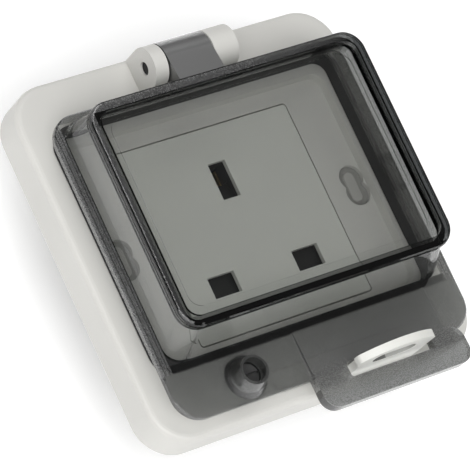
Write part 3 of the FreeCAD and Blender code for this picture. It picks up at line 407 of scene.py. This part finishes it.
def lid_zones_group():
    """Shader group: where the lid is textured, how strongly it shines there, and where it is tinted.

    Textured are the flange with its tab and boss, the knuckle's strap, and, coarsely, the rim's top on its
    left and hinge sides. Sheen grows towards the tab's front edge, and along the rim towards its rear left
    corner. Rim tells how much painted shade a clear face takes, in the rim's painted-shade colour: the rim,
    most on its right, and painted dark strips along the dome's front foot and in the upper part of its hinge
    wall. The tab's output is painted light on its front, where no frame lies under it, and painted shade on
    its edge. Groove is the lines on the flange, which also take painted shade.
    """
    def fill(sketch, given):
        x, y, z = sketch.split(sketch.place())
        above, below, times, largest = sketch.above, sketch.below, sketch.times, sketch.largest
        aside = sketch.maths("ABSOLUTE", x)
        from_knuckle = sketch.maths("ABSOLUTE", sketch.maths("SUBTRACT", x, KNUCKLE_X))

        knuckle = times(below(from_knuckle, KNUCKLE_HALF_WIDTH), above(y, KNUCKLE_FRONT_Y),
                        below(z, KNUCKLE_TOP_Z))
        in_front = below(y, FLANGE_FRONT_Y)
        beside = times(above(aside, FLANGE_SIDE_X), above(y, FLANGE_FRONT_Y))
        behind = above(y, FLANGE_REAR_Y)
        tab = times(in_front, above(x, TAB_LEFT_X))
        left = times(above(z, RIM_FACE_Z), below(x, -RIM_FACE_SIDE_X))
        hinge_side = times(above(z, RIM_FACE_Z), above(y, RIM_FACE_REAR_Y))
        zones = ((beside, 0.72), (in_front, 0.38), (behind, 0.38),
                 (tab, sketch.spread(y, *TAB_SHEEN_Y, 0.9, 0.42)),
                 (left, sketch.spread(y, *LEFT_SHEEN_Y, 0.25, 0.55)),
                 (hinge_side, sketch.spread(x, *HINGE_SHEEN_X, 0.6, 0.25)))
        textured = largest(knuckle, *(zone for zone, sheen in zones))
        sheen = largest(*(times(zone, strength) for zone, strength in zones))

        # Painted light on the tab's front beyond the frame's edge, and painted shade and less sheen on its
        # edge faces
        overhang = below(y, FRAME_FRONT_Y)
        tab_edge = times(overhang, above(z, TAB_EDGE_Z[0]), below(z, TAB_EDGE_Z[1]))
        sheen = times(sheen, sketch.maths("SUBTRACT", 1.0, times(tab_edge, TAB_EDGE_LESS_SHEEN)))
        light = sketch.maths("SUBTRACT", times(overhang, OVERHANG_PAINTED_LIGHT),
                             times(tab_edge, TAB_EDGE_PAINTED_SHADE))

        # Painted shade on clear faces: the rim, more on its right and less at its front, a strip along the
        # dome's front foot, and the upper part of the hinge wall
        outside = largest(below(y, RIM_FRONT_Y), above(y, RIM_REAR_Y), above(aside, RIM_SIDE_X))
        by_side = sketch.maths("SUBTRACT", times(above(x, RIM_SIDE_X), RIM_RIGHT_MORE_SHADE),
                               times(below(y, RIM_FRONT_Y), RIM_FRONT_LESS_SHADE))
        rim = times(outside, above(z, RIM_LOW_Z), sketch.maths("ADD", by_side, RIM_PAINTED_SHADE_SHARE))
        foot = times(below(y, DOME_FOOT_FRONT_Y), below(z, FLANGE_TOP_Z + 0.1 * MM), DOME_FOOT_PAINTED_SHADE)
        hinge_wall_shade = times(above(y, DOME_REAR_Y), sketch.spread(z, *DOME_REAR_SHADE_Z, 0.0, DOME_REAR_PAINTED_SHADE))

        lines = [sketch.maths("COMPARE", aside, place, GROOVE_HALF_WIDTH) for place in FLANGE_GROOVES_X]
        return {"Textured": textured, "Sheen": sheen, "Knuckle": knuckle,
                "Coarse": largest(left, hinge_side),
                "Rim": largest(rim, hinge_wall_shade, foot),
                "Overhang": light,
                "Groove": times(largest(*lines), beside, below(z, FLANGE_TOP_Z + 0.3 * MM))}

    outputs = ("Textured", "Sheen", "Knuckle", "Coarse", "Rim", "Overhang", "Groove")
    return shared_group("Lid zones", (), tuple((name, NUMBER) for name in outputs), fill)


def smoked_skin_group():
    """Shader group: tint with painted light and shade, roughness, sheen and fine relief of the smoked
    moulding, by zone.
    """
    def fill(sketch, given):
        maths, times, largest = sketch.maths, sketch.times, sketch.largest
        zones = sketch.group(lid_zones_group(), {})
        textured, groove = zones["Textured"], zones["Groove"]
        grain = sketch.noise(sketch.place(), maths("DIVIDE", 1.0, given["Grain"]), 2.0)

        speckle = sketch.spread(grain, *NOISE_SPAN, 0.82, 1.22)
        # Painted shade along the grooves, in the tint and the sheen
        unlined = maths("SUBTRACT", 1.0, times(groove, GROOVE_SHADE))
        # Textured tint: random grain times the tab's painted light and shade and the grooves' painted shade
        light = times(speckle, maths("ADD", zones["Overhang"], 1.0), unlined)
        # Clear faces stay white except where the rim's painted shade darkens them
        clear_painted_shade = sketch.mixed(zones["Rim"], (1.0, 1.0, 1.0, 1.0), given["Rim tint"])
        rough_tint = sketch.scaled(given["Textured tint"], light)
        roughness = sketch.add("ShaderNodeMix", {"Factor": textured, 2: given["Polish"], 3: given["Texture"]})

        even = times(zones["Knuckle"], KNUCKLE_SHEEN)
        depth = largest(times(textured, TEXTURE_DEPTH), times(zones["Coarse"], COARSE_DEPTH))
        glint = times(sketch.spread(grain, *NOISE_SPAN, -0.7, 0.7), depth)
        grainy = times(maths("ADD", glint, 1.0), zones["Sheen"])
        height = times(grain, maths("SUBTRACT", depth, times(even, 0.4)))
        return {"Tint": sketch.mixed(textured, clear_painted_shade, rough_tint),
                "Roughness": roughness.outputs[0],
                "Sheen": times(largest(grainy, even), unlined),
                "Height": maths("SUBTRACT", height, times(groove, GROOVE_DEPTH))}

    return shared_group("Smoked skin",
                        (("Textured tint", COLOUR, (0.24, 0.24, 0.24, 1.0)),
                         ("Rim tint", COLOUR, (0.3, 0.3, 0.3, 1.0)), ("Polish", NUMBER, 0.015),
                         ("Texture", NUMBER, 0.22), ("Grain", NUMBER, 0.28 * MM)),
                        (("Tint", COLOUR), ("Roughness", NUMBER), ("Sheen", NUMBER), ("Height", NUMBER)),
                        fill)


def blank_material(name, shader_settings):
    """A new node material with its sketch, its main shader, which has the given settings, and its output."""
    material = bpy.data.materials.new(name)
    material.use_nodes = True
    sketch = Sketch(material.node_tree)
    sketch.nodes.clear()
    output = sketch.add("ShaderNodeOutputMaterial")
    shader = sketch.add("ShaderNodeBsdfPrincipled", shader_settings)
    return material, sketch, shader, output


def moulding_material(name, tint, roughness, grain, drift=0.03, relief=0.006 * MM):
    """Opaque moulded plastic."""
    material, sketch, shader, output = blank_material(name, {"IOR": 1.5})
    skin = sketch.group(moulded_skin_group(),
                        {"Colour": tint, "Grain": grain, "Roughness": roughness, "Drift": drift})
    sketch.link(skin["Colour"], shader.inputs["Base Color"])
    sketch.link(skin["Roughness"], shader.inputs["Roughness"])
    sketch.relief(shader, skin["Height"], relief, 0.6)
    sketch.link(shader.outputs["BSDF"], output.inputs["Surface"])
    return material


def shade_sunk(material, shade, low, high):
    """Paints shade into an opaque moulding's colour where it lies inside the box from low to high."""
    sketch = Sketch(material.node_tree)
    colour_in = sketch.nodes["Principled BSDF"].inputs["Base Color"]
    given = {"Colour": colour_in.links[0].from_socket, "Shade": shade, "Low": low, "High": high}
    sketch.link(sketch.group(sunk_shade_group(), given)["Colour"], colour_in)


def metal_material(name, tint, roughness):
    """Drawn or turned metal."""
    material, sketch, shader, output = blank_material(name, {"Metallic": 1.0})
    grain = sketch.group(drawn_metal_group(), {"Colour": tint, "Roughness": roughness})
    sketch.link(grain["Colour"], shader.inputs["Base Color"])
    sketch.link(grain["Roughness"], shader.inputs["Roughness"])
    sketch.relief(shader, grain["Height"], 0.004 * MM, 0.5)
    sketch.link(shader.outputs["BSDF"], output.inputs["Surface"])
    return material


def smoked_material(name, look):
    """Smoked clear plastic: clear faces and textured ones, darker the further light goes through it.

    Shadow rays pass straight through, so that lamps reach what is under the lid.
    """
    settings = {"IOR": 1.49, "Transmission Weight": 1.0, "Coat Roughness": look.coat_roughness,
                "Coat IOR": 3.0}
    material, sketch, shader, output = blank_material(name, settings)
    skin = sketch.group(smoked_skin_group(),
                        {"Textured tint": tuple(look.textured_tint), "Rim tint": tuple(look.rim_painted_shade),
                         "Polish": look.polish, "Texture": look.texture, "Grain": look.grain})
    sketch.link(skin["Tint"], shader.inputs["Base Color"])
    sketch.link(skin["Roughness"], shader.inputs["Roughness"])
    sketch.link(skin["Sheen"], shader.inputs["Coat Weight"])
    sketch.relief(shader, skin["Height"], 0.05 * MM, 0.8)
    clear = sketch.add("ShaderNodeBsdfTransparent")
    shadow_ray = sketch.add("ShaderNodeLightPath").outputs["Is Shadow Ray"]
    mix = sketch.add("ShaderNodeMixShader",
                     {"Fac": shadow_ray, 1: shader.outputs["BSDF"], 2: clear.outputs["BSDF"]})
    sketch.link(mix.outputs["Shader"], output.inputs["Surface"])
    smoke = sketch.add("ShaderNodeVolumeAbsorption", {"Color": tuple(look.tint), "Density": look.density})
    sketch.link(smoke.outputs["Volume"], output.inputs["Volume"])
    return material


def dress(node, material):
    """Puts one material on every slot of a CAD node."""
    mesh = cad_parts[node].data
    if not mesh.materials:
        mesh.materials.append(material)
    for index in range(len(mesh.materials)):
        mesh.materials[index] = material


def mesh_object(name, points, faces, material):
    """A mesh object from an array of points and a list of faces."""
    mesh = bpy.data.meshes.new(name)
    mesh.from_pydata(points.tolist(), [], faces)
    mesh.update()
    mesh.materials.append(material)
    piece = bpy.data.objects.new(name, mesh)
    bpy.context.scene.collection.objects.link(piece)
    return piece


def point_list(x, y, z):
    """Three arrays of coordinates as one array of points."""
    return np.stack(np.broadcast_arrays(x, y, z), axis=-1).reshape(-1, 3)


def grid_faces(rows, columns):
    """Faces of a grid that closes on itself both ways, as four point numbers each."""
    row, column = np.meshgrid(np.arange(rows), np.arange(columns), indexing="ij")
    below = (row + 1) % rows
    beside = (column + 1) % columns
    corners = ((row, column), (below, column), (below, beside), (row, beside))
    return np.stack([ring * columns + step for ring, step in corners], axis=-1).reshape(-1, 4)


def tube_faces(rings, sides):
    """Faces of a tube of rings with a flat face on each end."""
    walls = grid_faces(rings, sides).reshape(rings, sides, 4)[:-1].reshape(-1, 4).tolist()
    first = list(range(sides))
    last = [(rings - 1) * sides + side for side in reversed(range(sides))]
    return walls + [first, last]


def dome_ring(half, front, back, radius, turn):
    """Rectangle with round corners: each corner's centre plus radius times the cosine and sine of turn.

    The first four arguments are arrays of one shape, and the last is an array of angles from 0 to a full
    turn. The corner is the one that the angle points to, so straight runs join the four arcs.
    """
    half, front, back, radius = (size[:, None] for size in (half, front, back, radius))
    side = np.sign(np.cos(turn) + TINY)
    middle_y = np.where(np.sin(turn) + TINY > 0, back - radius, front + radius)
    return side * (half - radius) + radius * np.cos(turn), middle_y + radius * np.sin(turn)


def seal_section(look, floor_z, seat_z):
    """Closed section of the seal, as insets from the dome's outside and heights.

    A root stands under the flange, straight on its inner side, and outside it a soft lip flares outwards
    and ends round on the plateau. The lip's end is half an ellipse, for a from 0 to pi:
    inset = foot + lip_width / 2 * (1 - cos a), z = floor_z + 0.5 mm - 0.45 mm * sin a.
    """
    rise = seat_z - floor_z
    outer = look.lip_inset
    inner = outer + look.root_width
    foot = outer - look.flare
    outside = [(outer, seat_z), (outer, seat_z - 0.25 * rise),
               (outer - 0.4 * look.flare, seat_z - 0.5 * rise)]
    round_lip = np.linspace(0.0, np.pi, 7)
    lip = np.stack([foot + look.lip_width / 2 * (1 - np.cos(round_lip)),
                    floor_z + 0.5 * MM - np.sin(round_lip) * 0.45 * MM], axis=-1)
    notch = foot + look.lip_width + 0.15 * MM
    inside = [(notch, floor_z + 0.6 * MM), (notch + 0.4 * MM, floor_z + 0.1 * MM),
              (inner - 0.2 * MM, floor_z + 0.1 * MM), (inner, floor_z + 0.4 * MM), (inner, seat_z)]
    return np.concatenate([outside, lip, inside])


def seal_surface(look, dome):
    """Seal: its section carried round the dome's outline, which draws in with height above the flange.

    For each point of the section the outline at its height is a rectangle with round corners, set in by
    the point's inset.
    """
    section = seal_section(look, dome["plateau"], dome["flange"])
    inset, z = section[:, 0], section[:, 1]
    height = np.clip((z - dome["foot"]) / (dome["top"] - dome["foot"]), 0.0, 1.0)
    half, front, back = (dome[size][0] + height * (dome[size][1] - dome[size][0])
                         for size in ("half", "front", "back"))
    radius = np.maximum(dome["corner"] - inset, 1.0 * MM)
    quarter = np.linspace(0.0, np.pi / 2, 12)
    inside_quarter = quarter[None, :] * 0.9998 + 1e-4
    turn = (np.arange(4)[:, None] * np.pi / 2 + inside_quarter).ravel()
    x, y = dome_ring(half - inset, front + inset, back - inset, radius, turn)
    return point_list(x, y, z[:, None]), grid_faces(len(section), len(turn)).tolist()


def knockout_surface(centre_x):
    """Thin raised pad with round ends: its outline carried up four rings that draw in at the top.

    The outline is a circle of the pad's radius, its two halves each moved along Y, away from the middle.
    """
    sides = 32
    rings = np.array([(0.0, 0.0), (0.0, 0.55), (0.35, 0.9), (1.0, 1.0)])
    turn = np.linspace(0.0, -2 * np.pi, sides + 1)[:-1][None, :]
    inset = rings[:, :1] * PAD_EDGE
    z = RECESS_FLOOR_Z + rings[:, 1:] * PAD_HEIGHT
    x = centre_x + (PAD_RADIUS - inset) * np.cos(turn)
    y = np.sign(np.sin(turn) + TINY) * PAD_HALF_LENGTH + (PAD_RADIUS - inset) * np.sin(turn)
    return point_list(x, y, z), tube_faces(len(z), sides)


def spring_surface(look, start_y, end_y, height):
    """Wire spring along Y: a circle of the wire's radius carried along a helix with closed ends.

    The helix turns once at each end with the wire lying against itself, and its rise is even between.
    At turn a of the helix and b of the wire, x and z are (spring_radius + wire_radius * cos b) times
    cos a and sin a, and y is the helix's place less wire_radius * sin b.
    """
    sides, steps_per_turn = 10, 24
    wire = look.wire_radius
    turns = look.spring_turns + 2.0
    t = np.linspace(0.0, turns, int(turns * steps_per_turn) + 1)
    knots = np.array([0.0, 1.0, turns - 1.0, turns])
    places = np.array([start_y + wire, start_y + 3 * wire, end_y - 3 * wire, end_y - wire])
    y = np.interp(t, knots, places)[:, None]
    turn = 2 * np.pi * t[:, None]
    round_wire = 2 * np.pi * np.arange(sides)[None, :] / sides
    out = look.spring_radius + wire * np.cos(round_wire)
    points = point_list(out * np.cos(turn), y - wire * np.sin(round_wire), height + out * np.sin(turn))
    return points, tube_faces(len(t), sides)


def thread_surface(look, centre, radius, low_z, high_z):
    """Screw thread: a low triangle carried along a helix round Z, which fades out at both ends.

    The triangle's base lies just inside the shank, and its point stands out by the thread's depth. At turn
    a each corner is at centre + out * (cos a, sin a), and one pitch higher after a full turn.
    """
    steps_per_turn, half_base, sunk = 36, 0.3, 0.02 * MM
    turns = (high_z - low_z) / look.thread_pitch - 2 * half_base
    t = np.linspace(0.0, turns, int(turns * steps_per_turn) + 1)
    fade = np.clip(np.minimum(t, turns - t) / 0.4, 0.05, 1.0)[:, None]
    turn = 2 * np.pi * t[:, None]
    out = radius - sunk + np.array([[0.0, 1.0, 0.0]]) * (look.thread_depth + sunk) * fade
    rise = np.array([[-half_base, 0.0, half_base]]) * look.thread_pitch * fade
    z = low_z + half_base * look.thread_pitch + t[:, None] * look.thread_pitch + rise
    points = point_list(centre[0] + out * np.cos(turn), centre[1] + out * np.sin(turn), z)
    return points, tube_faces(len(t), 3)


def floor_surface(size, height):
    """Flat square grid z = height over x and y from minus half to half the size."""
    count = 9
    line = np.linspace(-size / 2, size / 2, count)
    x, y = np.meshgrid(line, line, indexing="ij")
    corner = (np.arange(count - 1)[:, None] * count + np.arange(count - 1)[None, :]).ravel()
    faces = np.stack([corner, corner + count, corner + count + 1, corner + 1], axis=-1)
    return point_list(x, y, height), faces.tolist()


class SOCKET_OT_mouldings(Operator):
    """Finishes the base frame, the padlock eye, the module's front and rear, and the shutter"""
    bl_idname = "socket.mouldings"
    bl_label = "Opaque mouldings"

    def execute(self, context):
        look = context.scene.socket_mouldings
        finishes = (("base_frame", "Frame moulding", look.frame_colour, look.roughness),
                    ("padlock_eye", "Eye moulding", look.eye_colour, look.roughness - 0.1),
                    ("socket_faceplate", "Module front", look.module_colour, look.roughness - 0.12),
                    ("contact_carrier", "Carrier moulding", look.carrier_colour, look.roughness),
                    ("rear_cover", "Rear cover moulding", look.housing_colour, look.roughness + 0.05),
                    ("shutter", "Shutter moulding", look.shutter_colour, look.roughness))
        # Boxes of painted shade: the recess floors and the padlock eye's hole
        sunk = {"base_frame": self.recess_floor_shade_boxes(look), "padlock_eye": self.eye_hole_shade_boxes()}
        for node, name, tint, roughness in finishes:
            material = moulding_material(name, tuple(tint), roughness, look.grain)
            for shade, low, high in sunk.get(node, ()):
                shade_sunk(material, shade, low, high)
            dress(node, material)
        return {"FINISHED"}

    def recess_floor_shade_boxes(self, look):
        """The box of painted shade round the floor of a fixing recess, as the share of light left and its two
        corners.
        """
        low = (FIXING_X - RECESS_HALF_WIDTH, -RECESS_HALF_LENGTH, RECESS_FLOOR_Z - 0.1 * MM)
        high = (FIXING_X + RECESS_HALF_WIDTH, RECESS_HALF_LENGTH, RECESS_FLOOR_Z + 0.1 * MM)
        return ((look.recess_shade, low, high),)

    def eye_hole_shade_boxes(self):
        """The same for the painted shade inside the padlock eye's hole, and again for the deeper painted
        shade in its left part.
        """
        low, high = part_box("padlock_eye")
        near, far = low.y + EYE_SKIN, high.y - EYE_SKIN
        return tuple((shade, (left, near, EYE_HOLE_Z[0]), (right, far, EYE_HOLE_Z[1]))
                     for shade, (left, right) in ((0.5, EYE_HOLE_X), (0.3, EYE_DEEP_SHADE_X)))


class SOCKET_OT_knockouts(Operator):
    """Adds the thin knock-out pad on the floor of each fixing recess"""
    bl_idname = "socket.knockouts"
    bl_label = "Knock-out pads"

    def execute(self, context):
        look = context.scene.socket_mouldings
        # The pad's colour: the frame's, darkened by half the recess floor's painted shade
        shaded = tuple(channel * (1 + look.recess_shade) / 2 for channel in look.frame_colour[:3]) + (1.0,)
        material = moulding_material("Knock-out moulding", shaded, look.roughness, look.grain)
        for side, name in ((-1, "knockout_left"), (1, "knockout_right")):
            pad = mesh_object(name, *knockout_surface(side * FIXING_X), material)
            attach(pad, "housing")
        return {"FINISHED"}


class SOCKET_OT_lid(Operator):
    """Finishes the smoked lid"""
    bl_idname = "socket.lid"
    bl_label = "Smoked lid"

    def execute(self, context):
        dress("lid", smoked_material("Smoked lid", context.scene.socket_lid))
        return {"FINISHED"}


class SOCKET_OT_seals(Operator):
    """Makes the seal under the lid's dome and finishes both rubber seals"""
    bl_idname = "socket.seals"
    bl_label = "Seals"

    def execute(self, context):
        black = (0.012, 0.012, 0.013, 1.0)
        rubber = moulding_material("Seal rubber", black, 0.55, 0.5 * MM, 0.25, 0.02 * MM)
        dress("lid_gasket", rubber)
        dress("panel_gasket", rubber)
        seal = mesh_object("dome_seal", *seal_surface(context.scene.socket_seal, DOME), rubber)
        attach(seal, "lid")
        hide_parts("lid_gasket")
        return {"FINISHED"}


class SOCKET_OT_hardware(Operator):
    """Makes the wire spring and the screw's thread, and finishes every metal piece and the lid screw"""
    bl_idname = "socket.hardware"
    bl_label = "Metal pieces and lid screw"

    def execute(self, context):
        look = context.scene.socket_hardware
        steel = metal_material("Zinc-coated steel", (0.62, 0.62, 0.62, 1.0), 0.25)
        brass = metal_material("Plain brass", (0.78, 0.58, 0.28, 1.0), 0.22)
        dark = moulding_material("Dark screw moulding", (0.02, 0.02, 0.02, 1.0), 0.3, 0.4 * MM)
        blackened = metal_material("Blackened steel", (0.035, 0.035, 0.037, 1.0), 0.38)
        for node in ("shutter_spring", "terminal_screws", "body_screws"):
            dress(node, steel)
        dress("hinge_pin", blackened)
        for pole in ("line", "neutral", "earth"):
            dress(pole + "_contact", brass)
            dress(pole + "_terminal", brass)
        for node in ("lid_screw", "screw_retainer"):
            dress(node, dark)
        self.add_spring(look, steel)
        self.add_thread(look, dark)
        return {"FINISHED"}

    def add_spring(self, look, steel):
        """The shutter's return spring, made at one fixed length; the real spring shortens as the shutter
        slides back.
        """
        low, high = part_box("shutter_spring")
        height = (low.z + high.z) / 2
        spring = mesh_object("return_spring", *spring_surface(look, low.y, high.y, height), steel)
        spring.data.shade_smooth()
        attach(spring, "housing")
        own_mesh(spring)
        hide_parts("shutter_spring")

    def add_thread(self, look, dark):
        """The thread on the lid screw's shank, below the washer that holds it captive."""
        low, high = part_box("lid_screw")
        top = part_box("screw_retainer")[0].z - 0.1 * MM
        centre = ((low.x + high.x) / 2, (low.y + high.y) / 2)
        surface = thread_surface(look, centre, SHANK_RADIUS, low.z + 0.1 * MM, top)
        thread = mesh_object("screw_thread", *surface, dark)
        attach(thread, "lid")


class SOCKET_OT_stage(Operator):
    """Adds the pale floor, the soft lamps, the even surroundings and the camera"""
    bl_idname = "socket.stage"
    bl_label = "Floor, lamps and camera"

    def execute(self, context):
        look = context.scene.socket_stage
        self.add_floor(look)
        self.add_surroundings(context.scene, look)
        for name, place, size in LAMPS:
            self.add_lamp(context.scene, name, place, size, getattr(look, name + "_power"))
        self.add_camera(context.scene, look)
        return {"FINISHED"}

    def add_floor(self, look):
        """The floor, just under the object's lowest point."""
        finish = moulding_material("Studio floor", tuple(look.floor_colour), 0.7, 20 * MM, 0.0, 0.0)
        finish.node_tree.nodes["Principled BSDF"].inputs["Emission Strength"].default_value = look.floor_glow
        floor = mesh_object("studio_floor", *floor_surface(FLOOR_SIZE, CAD_BOX[0][2] - 0.1 * MM), finish)

    def add_surroundings(self, scene, look):
        """Even white light from all round."""
        world = bpy.data.worlds.new("Even studio light")
        world.use_nodes = True
        background = world.node_tree.nodes["Background"]
        background.inputs["Color"].default_value = (1.0, 1.0, 1.0, 1.0)
        background.inputs["Strength"].default_value = look.sky
        scene.world = world
        scene.view_settings.view_transform = "Standard"

    def add_lamp(self, scene, name, place, size, power):
        """A square lamp that faces the object."""
        lamp = bpy.data.lights.new(name, "AREA")
        lamp.shape = "SQUARE"
        lamp.size = size
        lamp.energy = power
        holder = bpy.data.objects.new(name, lamp)
        holder.location = place
        holder.rotation_euler = (-Vector(place)).to_track_quat("-Z", "Y").to_euler()
        scene.collection.objects.link(holder)

    def add_camera(self, scene, look):
        """The camera, at its place and turned by its three directions."""
        camera = bpy.data.objects.new("camera", bpy.data.cameras.new("camera"))
        turn = Matrix((CAMERA_RIGHT, -CAMERA_DOWN, -CAMERA_FORWARD)).transposed().to_4x4()
        camera.matrix_world = Matrix.Translation(Vector(look.camera_place)) @ turn
        camera.data.sensor_width = 36.0
        camera.data.lens = look.lens
        camera.data.clip_start = 0.05
        scene.collection.objects.link(camera)
        scene.camera = camera


SETTINGS = {"socket_mouldings": MouldingSettings, "socket_lid": LidSettings, "socket_seal": SealSettings,
            "socket_hardware": HardwareSettings, "socket_stage": StageSettings}
STEPS = (SOCKET_OT_mouldings, SOCKET_OT_knockouts, SOCKET_OT_lid, SOCKET_OT_seals, SOCKET_OT_hardware,
         SOCKET_OT_stage)


class SOCKET_PT_panel(Panel):
    """Lists the settings and the steps"""
    bl_label = "Weatherproof socket"
    bl_idname = "SOCKET_PT_panel"
    bl_space_type = "VIEW_3D"
    bl_region_type = "UI"
    bl_category = "Socket"

    def draw(self, context):
        for holder, settings in SETTINGS.items():
            column = self.layout.column()
            for name in settings.__annotations__:
                column.prop(getattr(context.scene, holder), name)
        for step in STEPS:
            self.layout.operator(step.bl_idname)


CLASSES = (*SETTINGS.values(), *STEPS, SOCKET_PT_panel)


def register():
    """Registers the classes and hangs the settings on the scene."""
    for cls in CLASSES:
        bpy.utils.register_class(cls)
    for holder, settings in SETTINGS.items():
        setattr(bpy.types.Scene, holder, PointerProperty(type=settings))


def unregister():
    """Takes everything back off."""
    for holder in SETTINGS:
        delattr(bpy.types.Scene, holder)
    for cls in reversed(CLASSES):
        bpy.utils.unregister_class(cls)


def main():
    """Runs every step."""
    register()
    bpy.ops.socket.mouldings()
    bpy.ops.socket.knockouts()
    bpy.ops.socket.lid()
    bpy.ops.socket.seals()
    bpy.ops.socket.hardware()
    bpy.ops.socket.stage()


if __name__ == "__main__":
    main()
